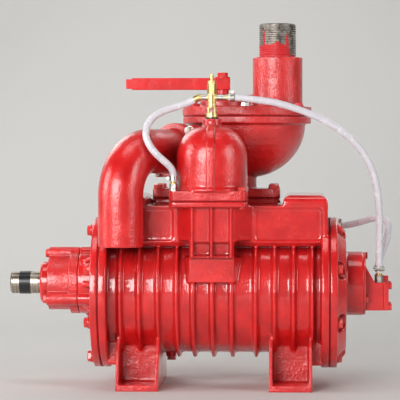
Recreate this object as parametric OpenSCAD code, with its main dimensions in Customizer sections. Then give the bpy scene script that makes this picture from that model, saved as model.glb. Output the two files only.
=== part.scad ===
// Rotary sliding-vane vacuum pump with a four-way changeover valve, an exhaust elbow,
// a check-valve dome with a sight-feed oiler, and a gear oil pump on the far end.
// The shaft runs along X with the drive stub at -X, the front is -Y, and the feet stand on Z = 0.

/* [Casing] */
// Length of the casing between its end faces
casing_l = 390; // [370:1:420]
// Radius of the rotor bore
bore_r = 88; // [86:0.5:90]
// Thickness of the barrel wall between the ribs
casing_wall = 15.5; // [12:0.5:18]
// Height of the cooling ribs above the barrel
rib_h = 9; // [6:0.5:11]
// Distance between cooling ribs
rib_pitch = 32; // [30:0.5:33]
// Width of a rib at its tip
rib_tip_w = 4; // [3:0.5:5]
// Width of a rib at its root
rib_root_w = 13; // [11:0.5:15]
// Distance of the first rib left of the port block from the middle
left_rib = 63; // [60:0.5:65]
// Distance of the first rib right of the port block from the middle
right_rib = 70; // [66:0.5:72]
// Radius of the end flanges
end_flange_r = 130; // [126:0.5:134]
// Thickness of the casing's end flanges
end_flange_t = 14; // [10:0.5:16]
// Height of the shaft above the floor
shaft_h = 176; // [170:1:184]

/* [Feet] */
// Distance of each foot from the middle of the casing
foot_x = 129.5; // [125:0.5:132]
// Width of a foot along the shaft
foot_w = 73; // [68:1:78]
// Thickness of a foot's side walls
foot_wall = 6; // [5:0.5:9]
// Depth of a foot from front to back
foot_depth = 236; // [228:1:250]
// Thickness of a foot's base
foot_base_t = 11; // [9:0.5:14]
// Half depth of the solid web in the middle of a foot
foot_web_y = 56; // [44:1:64]
// Height at which a foot's walls run into the ribs
foot_wall_top = 97; // [88:1:110]
// Diameter of the bolt holes in the feet
foot_hole_d = 18; // [14:0.5:22]
// Distance of the bolt holes from the feet's front and back edges
foot_hole_in = 24; // [18:1:30]

/* [Manifold] */
// Distance of the manifold's front face from the shaft
manifold_front = 85; // [82:0.5:88]
// Distance of the manifold's back face from the shaft
manifold_back = 125; // [118:1:132]
// Height of the manifold's lower edge above the shaft
manifold_low = 67; // [62:1:74]
// Height of the manifold's top above the shaft, under the port lips
manifold_high = 136; // [130:1:140]
// Gap between the valve's base plate and the nearer tank
tank_gap = 3; // [1:0.5:9]
// Distance of the tanks' ends from the casing's end faces
tank_set = 3; // [2:0.5:6]
// Height of the tanks' tops above the shaft
tank_high = 154; // [150:1:160]
// Radius of the tanks' rounded edges
tank_edge_r = 14; // [8:1:18]
// Depth of the recessed panels on the tanks' faces
panel_recess = 3; // [1:0.5:5]
// Width of the raised rim round a recessed panel
panel_rim = 9; // [6:0.5:14]
// Place of the port block along the shaft
port_x = -3; // [-5:0.5:-1]
// Width of the port block's front face under the dome
port_block_w = 76; // [73:1:79]
// Distance of the port block's front face from the shaft
port_block_front = 125; // [120:1:130]
// Height of the port block's lower edge above the shaft
port_block_low = 50; // [46:1:54]
// Height of the ledge between the port block's sloped part and its pockets above the shaft
port_ledge_high = 78; // [76:1:81]
// Distance between the upright ribs on the port block
port_pitch = 32.5; // [31:0.5:33]
// Width of the upright ribs on the port block
port_rib_w = 5; // [3:0.5:7]
// Height of the upright ribs above the port block's face
port_rib_h = 5; // [3:0.5:8]
// Depth of the two pockets below the port block
pocket_depth = 7; // [4:0.5:9]
// Width of the flat bridge below the port block
bridge_w = 76; // [70:1:90]
// Distance of the bridge's face from the shaft
bridge_front = 114; // [113:0.5:118]
// Height of the bridge's lower edge
bridge_bottom = 184; // [176:1:192]
// Thickness of the two port lips on the casing
lip_t = 9; // [7:0.5:12]
// Thickness of the port gaskets
port_gasket_t = 1; // [0.5:0.1:1.5]
// Thickness of the plates that sit on the port lips
plate_t = 16; // [12:0.5:18]

/* [Check valve dome] */
// Place of the dome along the shaft
dome_x = -4; // [-8:0.5:0]
// Place of the dome in front of the shaft
dome_y = -85; // [-88:0.5:-82]
// Outside radius of the dome
dome_r = 60; // [57:0.5:60.5]
// Thickness of the dome's wall
dome_wall = 7; // [5:0.5:9]
// Height of the dome's straight wall above its plate
dome_wall_h = 54; // [50:1:60]
// Height of the dome's crown
dome_crown_h = 54; // [48:1:58]
// Radius of the boss on the crown
dome_boss_r = 16; // [14:0.5:18]
// Height of the boss on the crown
dome_boss_h = 13; // [10:0.5:16]
// Width of the dome's plate
dome_plate_w = 131; // [129:1:135]
// Depth of the dome's plate
dome_plate_d = 110; // [108:1:114]
// Width of the raised rib up the front of the dome
dome_rib_w = 12; // [9:0.5:14]
// Height of the raised rib above the dome
dome_rib_h = 3; // [2:0.5:4]
// Radius of the check ball
ball_r = 30; // [27:0.5:32]
// Inside radius of the ball's seat ring
seat_bore_r = 24; // [20:0.5:25]
// Height of the ball's seat ring
seat_h = 10; // [8:0.5:12]

/* [Changeover valve] */
// Place of the valve bowl along the shaft
valve_x = 51; // [48:0.5:54]
// Place of the valve behind the shaft
valve_y = 88; // [86:0.5:92]
// Outside radius of the valve bowl
bowl_r = 103; // [99:0.5:105]
// Depth of the valve bowl below its flange
bowl_h = 95; // [90:1:100]
// Thickness of the bowl's wall
bowl_wall = 9; // [7:0.5:11]
// Height of the bowl's flange above the base plate
valve_rise = 113.6; // [111:0.2:118]
// Width of the bowl's flange outside the bowl
valve_rim = 10; // [9:0.5:12]
// Thickness of the bowl's flange
valve_flange_t = 13.4; // [11:0.2:16]
// Overhang of the lid past the bowl's flange
lid_lap = 1; // [0.5:0.5:2]
// Thickness of the lid
lid_t = 16; // [12:0.5:18]
// Width of the valve's base plate
base_plate_w = 223; // [219:1:227]
// Depth of the valve's base plate
base_plate_d = 104; // [101:1:108]
// Place of the spindle along the shaft
spindle_x = 8; // [5:0.5:11]
// Radius of the spindle
spindle_r = 11; // [9:0.5:12]
// Radius of the spindle boss on the lid
lid_boss_r = 40; // [34:1:42]
// Height of the spindle boss on the lid
lid_boss_h = 22; // [16:1:26]
// Place of the inlet along the shaft
inlet_x = 105; // [102:0.5:108]
// Outside radius of the inlet tube
inlet_r = 44; // [41:0.5:46]
// Height of the inlet tube above the lid
inlet_h = 87; // [76:1:96]
// Outside radius of the inlet nipple
nipple_r = 32.9; // [30:0.1:36]
// Radius of the nipple's end that is screwed into the inlet tube
nipple_root_r = 32; // [29:0.1:32.5]
// Thickness of the nipple's wall
nipple_wall = 4.5; // [3:0.5:6]
// Height of the nipple above the inlet tube
nipple_out = 59; // [40:1:70]
// Depth of the nipple in the inlet tube
nipple_in = 24; // [16:1:32]
// Length of the lever from the spindle to its tip
lever_l = 171; // [150:1:180]
// Height of the lever's bar
lever_h = 21; // [16:0.5:24]
// Thickness of the lever's bar
lever_t = 10; // [8:0.5:12]
// Gap between the spindle boss and the lever
lever_gap = 8; // [6:0.5:10]

/* [Exhaust elbow] */
// Place of the elbow's outlet along the shaft
elbow_x = -155; // [-157:0.5:-153]
// Place of the elbow's outlet in front of the shaft
elbow_y = -130; // [-134:0.5:-129]
// Outside radius of the elbow's tube
elbow_r = 38; // [36:0.5:38.5]
// Thickness of the elbow's wall
elbow_wall = 4; // [3:0.5:5]
// Radius of the elbow's bend
elbow_bend_r = 76; // [70:1:80]
// Height of the elbow's outlet
elbow_mouth_z = 244; // [240:1:256]
// Height of the elbow's flange axis above the valve's base plate
elbow_rise = 66; // [64:0.5:66]
// Length from the outlet's axis to the flange's face
elbow_run = 158; // [157:0.5:164]
// Radius of the elbow's flange
elbow_flange_r = 48.5; // [46:0.5:49]
// Thickness of the elbow's flange
elbow_flange_t = 9; // [8:0.5:10]

/* [Drive end] */
// Thickness of the end covers' flanges
cover_t = 12.5; // [10:0.5:14]
// Thickness of the end gaskets
end_gasket_t = 0.8; // [0.4:0.1:1.2]
// Radius of the drive hub
hub_r = 53.5; // [52:0.5:56]
// Radius of the bearing cap between its bolt lobes
cap_r = 47; // [46.5:0.5:49]
// Distance of the bolt lobes from the shaft
lobe_pitch_r = 51; // [50:0.5:52]
// Length of the drive hub
hub_l = 28; // [24:1:34]
// Length of the bearing cap
cap_l = 53; // [48:1:58]
// Radius of the bolt lobes on the bearing cap
lobe_r = 11; // [9:0.5:12]
// Radius of the seal plate
seal_plate_r = 36; // [34:0.5:38]
// Thickness of the seal plate
seal_plate_t = 14; // [11:0.5:16]
// Radius of the drive stub
shaft_r = 19; // [17:0.5:20]
// Length of the drive stub outside the seal plate
shaft_out = 53; // [44:1:64]
// Width of the keyway
key_w = 10; // [8:0.5:12]
// Length of the keyway
key_l = 21; // [16:1:22]
// Depth of the keyway
key_depth = 5; // [4:0.5:6]
// Bore radius of the bearings
bearing_bore_r = 22.5; // [21.5:0.5:23]
// Outside radius of the bearings
bearing_r = 42.5; // [41:0.5:43]
// Width of the bearings
bearing_w = 19; // [15:0.5:20]

/* [Rotor] */
// Radius of the rotor drum
rotor_r = 72; // [70:0.5:73]
// Gap between the drum and the bore at their nearest
rotor_gap = 0.4; // [0.3:0.1:0.8]
// Gap between the drum and each end cover
rotor_end_gap = 0.5; // [0.3:0.1:1]
// Radius of the shaft inside the drum
core_r = 25; // [24:0.5:26]
// Number of vanes
vane_count = 4; // [4]
// Thickness of a vane
vane_t = 8; // [6:0.5:9]
// Height of a vane from its foot to its tip
vane_h = 38; // [32:1:40]

/* [Oil end] */
// Height of the scalloped ring on the oil end cover
boss_h = 15; // [12:0.5:18]
// Radius of the bearing housing
housing_r = 55; // [53:0.5:57]
// Length of the bearing housing past the bosses
housing_l = 31; // [27:1:35]
// Thickness of the plate that closes the bearing housing
end_plate_t = 3; // [2:0.5:5]
// Half width of the oil pump
pump_half_w = 27; // [26.5:0.5:30]
// Length of the oil pump's body
pump_l = 31; // [30.5:0.5:36]
// Height of the oil pump's top above its foot
pump_h = 48; // [46:0.5:50]
// Distance from the shaft down to the oil pump's foot
pump_drop = 45; // [43:0.5:46]
// Thickness of the oil pump's cover
pump_cover_t = 8.6; // [6:0.2:11]
// Pitch radius of the oil pump gears
gear_r = 8.4; // [8:0.1:8.6]
// Number of teeth on each oil pump gear
gear_teeth = 12; // [10:1:14]
// Width of the oil pump gears
gear_w = 8; // [6:0.5:9]

/* [Hoses] */
// Outside diameter of the oil hoses
hose_d = 12; // [10:0.5:13]

/* [Hidden] */
$fn = 64;

// Paints and metals
red = [0.86, 0.12, 0.13];
iron = [0.42, 0.42, 0.43];
steel = [0.66, 0.64, 0.60];
zinc = [0.80, 0.82, 0.83];
brass = [0.83, 0.70, 0.40];
rubber = [0.12, 0.12, 0.13];
hose_tint = [0.90, 0.88, 0.92];
gasket_grey = [0.30, 0.27, 0.25];

// Clearances
run_clear = 0.05;
bolt_clear = 0.3;
loose = 0.3;
cut = 1;

// Places along the shaft, counted outwards from the middle
end_x = casing_l / 2;
cover_in = end_x + end_gasket_t;
cover_out = cover_in + cover_t;
hub_face = cover_out + hub_l;
cap_face = hub_face + cap_l;
seal_face = cap_face + seal_plate_t;
shaft_tip = seal_face + shaft_out;
boss_face = cover_out + boss_h;
housing_face = boss_face + housing_l;
pump_face = housing_face + end_plate_t;
pump_end = pump_face + pump_l;
pump_cover_face = pump_end + pump_cover_t;

// Barrel
ecc = bore_r - rotor_r - rotor_gap;
bore_z = shaft_h - ecc;
barrel_r = bore_r + casing_wall;
bar_w = 5.5;
side_ribs = floor((end_x - end_flange_t - max(left_rib, right_rib) - rib_root_w / 2) / rib_pitch);

// Bolts
m10_r = 5;
m10_af = 16;
m10_head = 6.4;
m8_r = 4;
m8_af = 13;
m8_head = 5.4;
m6_r = 3;
m6_af = 10;
m6_head = 4;
end_bolts = 8;
end_bolt_pcr = end_flange_r - 13;
end_bolt_depth = 10;
end_boss_r = 10.5;
drive_boss_h = 3;

// Port lips and plates
manifold_bottom = shaft_h + manifold_low;
manifold_top = shaft_h + manifold_high;
port_block_bottom = shaft_h + port_block_low;
port_ledge = shaft_h + port_ledge_high;
port_slopes = [21, 31];
bridge_slope = 9;
casing_top = manifold_top + lip_t;
plate_bottom = casing_top + port_gasket_t;
plate_top = plate_bottom + plate_t;
plate_corner_r = 10;
dome_plate_x = dome_x - 4.5;
base_plate_x = -1.5;
tank_in = base_plate_w / 2 + abs(base_plate_x) + tank_gap;
tank_out = end_x - tank_set;
tank_top = shaft_h + tank_high;
plate_bolt_depth = 14;
front_port_r = seat_bore_r + 2;
rear_port_r = 34;
port_floor = bore_z + bore_r - 16;
port_reach = bore_r - 8;
duct_wall = 12;
manifold_bevel = 8;

// Radii and heights of the changeover valve
valve_flange_r = bowl_r + valve_rim;
lid_r = valve_flange_r + lid_lap;
flange_z = plate_top + valve_rise;
body_top = flange_z + valve_flange_t;
lid_gasket_t = 0.8;
lid_bottom = body_top + lid_gasket_t;
lid_top = lid_bottom + lid_t;
lid_boss_top = lid_top + lid_boss_h;
lever_z = lid_boss_top + lever_gap;
inlet_top = lid_top + inlet_h;

// Dome
dome_base = plate_top;
dome_shoulder = dome_base + dome_wall_h;
dome_crown = dome_shoulder + dome_crown_h;
dome_top = dome_crown + dome_boss_h;
seat_r = dome_r - dome_wall - 8;
dome_fitting_set = [7, 33];
dome_fitting = [dome_plate_x - dome_plate_w / 2 + dome_fitting_set.x, dome_y - dome_fitting_set.y];

// Elbow, with its run turned from the shaft's direction
elbow_turn = 57;
elbow_z = plate_top + elbow_rise;
elbow_gasket_t = 1;
stud_pitch = 50;
stud_ear_r = 10;
stud_turn = -45;

// Bearings and rotor
bearing_race = 5.5;
ball_row_r = (bearing_bore_r + bearing_r) / 2;
race_in_r = bearing_bore_r + bearing_race;
race_out_r = bearing_r - bearing_race;
bearing_ball_r = (race_out_r - race_in_r) / 2 - loose;
bearing_balls_each = 11;
bearing_set = 2;
drive_bearing_x = hub_face + bearing_set;
oil_bearing_x = boss_face + bearing_set + 2;
seal_lip = 8.9;
drum_l = casing_l - 2 * rotor_end_gap;
vane_l = drum_l - 2 * loose;
vane_tuck = 0.2;
vane_clear = 0.1;
vane_turn = 45;

// Oil pump
pump_foot_z = shaft_h - pump_drop;
pump_top_z = pump_foot_z + pump_h;
spindle_pin_r = 4;
gear_gap = 0.2;
gear_drop = 2 * gear_r + gear_gap;
gear_module = 2 * gear_r / gear_teeth;
gear_tip_r = gear_r + 0.8 * gear_module;
gear_root_r = gear_r - 1.1 * gear_module;
fitting_af = 12;
fitting_x = pump_end - fitting_af / sqrt(3) - 0.4;
fitting_y = 13;
fitting_hex_h = 12;
fitting_ring_h = 3.5;
fitting_top = fitting_hex_h + fitting_ring_h;
tail_r = 3.5;

// Hoses, as routes from one fitting to the other
hose_r = hose_d / 2;
hose_sides = 10;
tank_fitting_y = 100;
tank_fitting_rise = 29;
tank_fitting_z = manifold_bottom + tank_fitting_rise;
oiler_z = dome_top;
tail_rise = 36;
tail_z = oiler_z + tail_rise;
feed_route = [
    [24, -85, 495], [34, -85, 495], [48, -85, 494], [72, -84, 491], [104, -82, 486], [132, -79, 478],
    [160, -75, 468], [190, -68, 454], [214, -61, 439], [236, -53, 420], [254, -46, 398], [267, -40, 373],
    [275, -33, 346], [279, -27, 318], [281, -20, 288], [281, -15, 258], [281, -13, 232], [281, -13, 208],
    [281, -13, 194.5]
];
suction_route = [
    [207.5, 100, 272], [218.8, 100, 272], [229.2, 99, 272.9], [239.1, 96.8, 274.9], [248.8, 93.3, 277.5],
    [258, 88.6, 280.5], [266.6, 82.9, 283.4], [274.5, 76.1, 285.7], [281.7, 68.3, 286.9], [288, 59.6, 286.4],
    [293.1, 50.6, 283.9], [296.6, 41.8, 279.2], [298.2, 33.7, 272.5], [298, 26.8, 264.3],
    [296.2, 21.5, 255.2], [293.2, 17.6, 245.7], [289.5, 15.2, 235.9], [285.7, 13.8, 226],
    [282.6, 13.1, 216.1], [281, 13, 205.8], [281, 13, 194.5]
];
drip_route = [
    [-34, -85, 491], [-43.6, -85, 486.2], [-53, -86, 482.9], [-62.5, -87.4, 479.8], [-72.1, -89.5, 476.7],
    [-81.5, -92.2, 473.4], [-90.4, -95.9, 469.3], [-98.4, -101.5, 464.1], [-105.1, -108, 457.4],
    [-110, -114.6, 449.4], [-112.5, -120.8, 440.3], [-112.4, -125.8, 430.7], [-109.4, -129.4, 421.1],
    [-104.4, -131.2, 411.7], [-97.8, -131.4, 403.2], [-90.2, -129.8, 395.3], [-82.2, -126.9, 388],
    [-74.7, -123.1, 380.8], [-69, -119.7, 373], [-67, -118, 363.5], [-67, -118, 353.5]
];

// Plain shapes that repeat
module xcyl(r, x0, x1, y = 0, z = shaft_h) {
    translate([x0, y, z]) rotate([0, 90, 0]) cylinder(r = r, h = x1 - x0);
}

module rounded_rect(w, d, r) {
    square([w - 2 * r, d], center = true);
    square([w, d - 2 * r], center = true);
    for (x = [-1, 1], y = [-1, 1])
        translate([x * (w / 2 - r), y * (d / 2 - r)]) circle(r = r);
}

module hex_bolt(r, l, af, h) {
    cylinder(r = af / sqrt(3), h = h, $fn = 6);
    translate([0, 0, -l]) cylinder(r = r, h = l);
}

// Copies round an axis along the shaft, starting from straight up
module round_x(n, r, z, start = 0) {
    for (i = [0:n - 1])
        let (a = start + i * 360 / n)
            translate([0, r * sin(a), z + r * cos(a)]) children();
}

// A tube of the hose's diameter through the points of a route
module hose_tube(route) {
    last = len(route) - 1;
    ahead = [for (i = [0:last]) route[min(i + 1, last)] - route[max(i - 1, 0)]];
    rings = [
        for (i = [0:last])
            let (t = ahead[i] / norm(ahead[i]))
            let (n = cross(t, [0, 1, 0]))
            let (u = n / norm(n))
            let (v = cross(u, t))
            for (s = [0:hose_sides - 1])
                let (a = 360 * s / hose_sides)
                    route[i] + hose_r * (cos(a) * u + sin(a) * v)
    ];
    sides = [
        for (i = [0:last - 1], s = [0:hose_sides - 1])
            let (a = i * hose_sides + s)
            let (b = i * hose_sides + (s + 1) % hose_sides)
            for (f = [[a, b, b + hose_sides], [a, b + hose_sides, a + hose_sides]]) f
    ];
    near = [for (s = [hose_sides - 1:-1:0]) s];
    far = [for (s = [0:hose_sides - 1]) last * hose_sides + s];
    polyhedron(points = rings, faces = concat(sides, [near, far]), convexity = 6);
}

// Casing
// Outline of one rib, narrowing from its root to its tip
function rib(x, tip, root) = [
    for (p = [[-root / 2, 0], [-tip * 0.6 - root * 0.15, rib_h * 0.25], [-tip / 2, rib_h],
        [tip / 2, rib_h], [tip * 0.6 + root * 0.15, rib_h * 0.25], [root / 2, 0]])
        [barrel_r + p.y, x + p.x]
];

module ribbed_barrel() {
    left = [for (i = [side_ribs:-1:0]) each rib(-left_rib - i * rib_pitch, rib_tip_w, rib_root_w)];
    middle = [for (i = [-1:1]) each rib(port_x + i * port_pitch, bar_w, bar_w + 3)];
    right = [for (i = [0:side_ribs]) each rib(right_rib + i * rib_pitch, rib_tip_w, rib_root_w)];
    ends = [[0, -end_x], [barrel_r, -end_x]];
    outline = concat(ends, left, middle, right, [[barrel_r, end_x], [0, end_x]]);
    translate([0, 0, bore_z]) rotate([0, 90, 0]) rotate_extrude() polygon(outline);
}

module foot() {
    wall_y = sqrt(pow(barrel_r, 2) - pow(bore_z - foot_wall_top, 2));
    side = [
        [-foot_depth / 2, 0], [foot_depth / 2, 0], [foot_depth / 2, foot_base_t], [wall_y, foot_wall_top],
        [0, bore_z], [-wall_y, foot_wall_top], [-foot_depth / 2, foot_base_t]
    ];
    difference() {
        union() {
            for (s = [-1, 1])
                translate([s * (foot_w - foot_wall) / 2, 0, 0]) rotate([90, 0, 90])
                    linear_extrude(foot_wall, center = true) polygon(side);
            translate([-foot_w / 2, -foot_web_y, 0]) cube([foot_w, 2 * foot_web_y, bore_z]);
            translate([-foot_w / 2, -foot_depth / 2, 0]) cube([foot_w, foot_depth, foot_base_t]);
        }
        for (s = [-1, 1])
            translate([0, s * (foot_depth / 2 - foot_hole_in), -cut])
                cylinder(d = foot_hole_d, h = foot_base_t + 2 * cut);
    }
}

// Outline of the manifold across the shaft, bevelled along its lower edges
module manifold_outline(top) {
    polygon([
        [-manifold_front, manifold_bottom + manifold_bevel],
        [-manifold_front + manifold_bevel, manifold_bottom],
        [manifold_back - manifold_bevel, manifold_bottom],
        [manifold_back, manifold_bottom + manifold_bevel],
        [manifold_back, top], [-manifold_front, top]
    ]);
}

module tank_outline() {
    manifold_outline(tank_top - tank_edge_r);
    translate([-manifold_front + tank_edge_r, manifold_bottom])
        square([manifold_front + manifold_back - 2 * tank_edge_r, tank_top - manifold_bottom]);
    for (y = [tank_edge_r - manifold_front, manifold_back - tank_edge_r])
        translate([y, tank_top - tank_edge_r]) circle(r = tank_edge_r);
}

module tanks() {
    depth = manifold_front + manifold_back + 2 * cut;
    intersection() {
        rotate([90, 0, 90]) translate([0, 0, -tank_out]) linear_extrude(2 * tank_out) tank_outline();
        for (s = [-1, 1])
            translate([s * (tank_in + tank_out) / 2, manifold_back + cut, 0]) rotate([90, 0, 0])
                linear_extrude(depth) {
                    translate([0, (manifold_bottom + tank_top) / 2])
                        rounded_rect(tank_out - tank_in, tank_top - manifold_bottom, tank_edge_r);
                    translate([(tank_in - tank_out) / 2, manifold_bottom - cut])
                        square([tank_out - tank_in, tank_edge_r + cut]);
                }
    }
}

module panel_cuts() {
    inner = port_block_w / 2 + max(port_slopes);
    outer = tank_out - panel_rim;
    low = manifold_bottom + panel_rim;
    high = manifold_top - panel_rim / 3;
    for (s = [-1, 1])
        translate([s * (inner + outer) / 2, -manifold_front + panel_recess, (low + high) / 2])
            rotate([90, 0, 0]) linear_extrude(panel_recess + cut)
                rounded_rect(outer - inner, high - low, panel_rim);
}

// Sloped block under the dome, its narrower part with two pockets, and the flat bridge below
module port_block() {
    front = port_block_w / 2;
    wall = cut - manifold_front;
    rise = manifold_top - port_block_bottom;
    pocket_rise = 3;
    pocket_w = port_pitch - port_rib_w;
    pocket_h = port_ledge - port_block_bottom - 2 * pocket_rise;
    side = bridge_w / 2 + bridge_slope;
    translate([port_x, 0, 0]) {
        translate([0, 0, port_ledge]) linear_extrude(manifold_top - port_ledge) polygon([
            [-front, -port_block_front], [front, -port_block_front],
            [front + port_slopes[1], wall], [-front - port_slopes[0], wall]
        ]);
        difference() {
            translate([-front, -port_block_front, port_block_bottom])
                cube([port_block_w, port_block_front, port_ledge - port_block_bottom + cut]);
            for (x = [-1, 1])
                translate([x * port_pitch / 2, -port_block_front - cut, port_block_bottom + pocket_rise])
                    translate([-pocket_w / 2, 0, 0]) cube([pocket_w, pocket_depth + cut, pocket_h]);
        }
        for (i = [-1:1])
            translate([i * port_pitch - port_rib_w / 2, -port_block_front - port_rib_h, port_block_bottom])
                cube([port_rib_w, port_rib_h + cut, rise]);
        translate([0, 0, bridge_bottom]) linear_extrude(port_block_bottom - bridge_bottom) polygon([
            [-bridge_w / 2, -bridge_front], [bridge_w / 2, -bridge_front], [side, -bore_r],
            [side, -bore_r / 2], [-side, -bore_r / 2], [-side, -bore_r]
        ]);
    }
    for (i = [-2:2])
        translate([i * rib_pitch - port_rib_w / 2, manifold_back - cut, manifold_bottom + manifold_bevel])
            cube([port_rib_w, port_rib_h + cut, manifold_top - manifold_bottom - manifold_bevel]);
}

module dome_lip(t) {
    translate([dome_plate_x, dome_y, 0])
        linear_extrude(t) rounded_rect(dome_plate_w, dome_plate_d, plate_corner_r);
}

module base_lip(t) {
    translate([base_plate_x, valve_y, 0])
        linear_extrude(t) rounded_rect(base_plate_w, base_plate_d, plate_corner_r);
}

// Bolt places on the two port plates
module at_dome_bolts() {
    inset = 10;
    back = dome_y + dome_plate_d / 2 - inset;
    front = dome_y - dome_plate_d / 2 + inset - 1;
    right = dome_plate_x + dome_plate_w / 2 - inset + 1;
    left = dome_plate_x - dome_plate_w / 2 + inset;
    for (p = [[left, back], [right, back], [right, front]])
        translate([p.x, p.y, 0]) children();
}

module at_base_bolts() {
    out_x = base_plate_w / 2 - 11;
    out_y = base_plate_d / 2 - 11;
    for (x = [-1, 1], y = [-1, 1])
        translate([base_plate_x + x * out_x, valve_y + y * out_y, 0]) children();
}

module at_end_bolts() {
    round_x(end_bolts, end_bolt_pcr, bore_z, 180 / end_bolts) children();
}

module port_passages() {
    translate([dome_x, dome_y, port_block_bottom + 2 * cut])
        cylinder(r = front_port_r, h = casing_top - port_block_bottom);
    translate([dome_x - front_port_r, -port_reach, port_floor - duct_wall])
        cube([2 * front_port_r, port_reach / 3, 3 * duct_wall]);
    translate([spindle_x, valve_y, manifold_bottom + duct_wall])
        cylinder(r = rear_port_r, h = casing_top - manifold_bottom);
    translate([spindle_x - rear_port_r, port_reach * 2 / 3, port_floor - duct_wall])
        cube([2 * rear_port_r, port_reach / 3, 4 * duct_wall]);
    hollow_h = manifold_top - lip_t - bore_z - barrel_r;
    translate([-tank_out + duct_wall, -manifold_front + duct_wall, bore_z + barrel_r])
        cube([2 * (tank_out - duct_wall), manifold_front + duct_wall, hollow_h]);
}

drain_x = -79;
drain_y = 24;
drain_r = 9;
drain_top = bore_z - barrel_r + 10;
drain_bottom = 44;
drain_thread_r = 6;
drain_depth = 9;
plug_h = 4;

module rotor_casing() color(red) difference() {
    union() {
        ribbed_barrel();
        for (s = [0, 1]) mirror([s, 0, 0]) {
            xcyl(end_flange_r, end_x - end_flange_t, end_x, 0, bore_z);
            translate([foot_x, 0, 0]) foot();
        }
        rotate([90, 0, 90]) translate([0, 0, -tank_in - cut])
            linear_extrude(2 * (tank_in + cut)) manifold_outline(manifold_top);
        tanks();
        port_block();
        translate([0, 0, manifold_top - cut]) {
            dome_lip(lip_t + cut);
            base_lip(lip_t + cut);
        }
        translate([drain_x, drain_y, drain_bottom]) cylinder(r = drain_r, h = drain_top - drain_bottom);
    }
    xcyl(bore_r, -end_x - cut, end_x + cut, 0, bore_z);
    panel_cuts();
    port_passages();
    for (s = [0, 1]) mirror([s, 0, 0])
        at_end_bolts() xcyl(m10_r + bolt_clear, end_x - end_bolt_depth - cut, end_x + cut, 0, 0);
    translate([0, 0, casing_top - plate_bolt_depth]) {
        at_dome_bolts() cylinder(r = m8_r + bolt_clear, h = plate_bolt_depth + cut);
        at_base_bolts() cylinder(r = m10_r + bolt_clear, h = plate_bolt_depth + cut);
    }
    translate([drain_x, drain_y, drain_bottom - cut])
        cylinder(r = drain_thread_r + bolt_clear, h = drain_depth + cut);
    xcyl(tail_r + bolt_clear, tank_out - 8, tank_out + cut, tank_fitting_y, tank_fitting_z);
}

module drain_plug() color(rubber) translate([drain_x, drain_y, drain_bottom]) {
    translate([0, 0, -plug_h]) cylinder(r = m8_af / sqrt(3), h = plug_h, $fn = 6);
    cylinder(r = drain_thread_r, h = drain_depth - cut);
}

module end_gaskets() color(gasket_grey) for (s = [0, 1]) mirror([s, 0, 0]) difference() {
    xcyl(end_flange_r, end_x, cover_in, 0, bore_z);
    xcyl(bore_r, end_x - cut, cover_in + cut, 0, bore_z);
    at_end_bolts() xcyl(m10_r + bolt_clear, end_x - cut, cover_in + cut, 0, 0);
}

// End covers
lobes = 3;
cap_bolt_depth = 20;
gussets = 8;
gusset_w = 7;
gusset_h = 18;

module drive_end_cover() color(red) mirror([1, 0, 0]) difference() {
    union() {
        xcyl(end_flange_r, cover_in, cover_out, 0, bore_z);
        at_end_bolts() xcyl(end_boss_r, cover_out - cut, cover_out + drive_boss_h, 0, 0);
        xcyl(hub_r, cover_in, hub_face);
        round_x(lobes, lobe_pitch_r, shaft_h) xcyl(lobe_r, cover_in, hub_face, 0, 0);
        for (i = [0:gussets - 1])
            translate([cover_out, 0, shaft_h]) rotate([i * 360 / gussets, 0, 0]) rotate([90, 0, 0])
                linear_extrude(gusset_w, center = true)
                    polygon([
                        [-cut, 0], [-cut, hub_r + gusset_h], [0, hub_r + gusset_h],
                        [hub_l - 4, hub_r - 4], [hub_l - 4, 0]
                    ]);
    }
    xcyl(bearing_bore_r + 4 * loose, cover_in - cut, hub_face + cut);
    at_end_bolts() xcyl(m10_r + bolt_clear, cover_in - cut, cover_out + drive_boss_h + cut, 0, 0);
    round_x(lobes, lobe_pitch_r, shaft_h)
        xcyl(m8_r + bolt_clear, hub_face - cap_bolt_depth, hub_face + cut, 0, 0);
}

module drive_end_bolts() color(red) mirror([1, 0, 0]) at_end_bolts()
    translate([cover_out + drive_boss_h, 0, 0]) rotate([0, 90, 0])
        hex_bolt(m10_r, drive_boss_h + cover_t + end_gasket_t + end_bolt_depth - cut, m10_af, m10_head);

spigot_l = 6;
cap_step = 15;
spigot_r = seal_plate_r - 6;
seal_r = shaft_r + 1;

module drive_bearing_cap() color(red) mirror([1, 0, 0]) difference() {
    union() {
        xcyl(cap_r, hub_face, cap_face);
        xcyl(hub_r, hub_face, hub_face + cap_step);
        round_x(lobes, lobe_pitch_r, shaft_h) xcyl(lobe_r, hub_face, cap_face, 0, 0);
    }
    xcyl(bearing_r, hub_face - cut, hub_face + bearing_w + 2 * bearing_set);
    xcyl(spigot_r + run_clear, hub_face, cap_face + cut);
    round_x(lobes, lobe_pitch_r, shaft_h)
        xcyl(m8_r + bolt_clear, hub_face - cut, cap_face + cut, 0, 0);
}

module drive_cap_bolts() color(red) mirror([1, 0, 0]) round_x(lobes, lobe_pitch_r, shaft_h)
    translate([cap_face, 0, 0]) rotate([0, 90, 0])
        hex_bolt(m8_r, cap_l + cap_bolt_depth - cut, m8_af, m8_head);

module seal_plate() color(red) mirror([1, 0, 0]) difference() {
    union() {
        xcyl(seal_plate_r, cap_face, seal_face - 3);
        translate([seal_face - 3, 0, shaft_h]) rotate([0, 90, 0])
            cylinder(r1 = seal_plate_r, r2 = seal_plate_r - 3, h = 3);
        xcyl(spigot_r, cap_face - spigot_l, cap_face + cut);
    }
    xcyl(seal_r + seal_lip + run_clear, cap_face - spigot_l - cut, seal_face - 2);
    xcyl(seal_r + cut, cap_face, seal_face + cut);
}

module shaft_seal() color(rubber) mirror([1, 0, 0]) difference() {
    xcyl(seal_r + seal_lip, cap_face - spigot_l + 1, seal_face - 2);
    xcyl(seal_r + run_clear, cap_face - spigot_l, seal_face);
}

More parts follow.
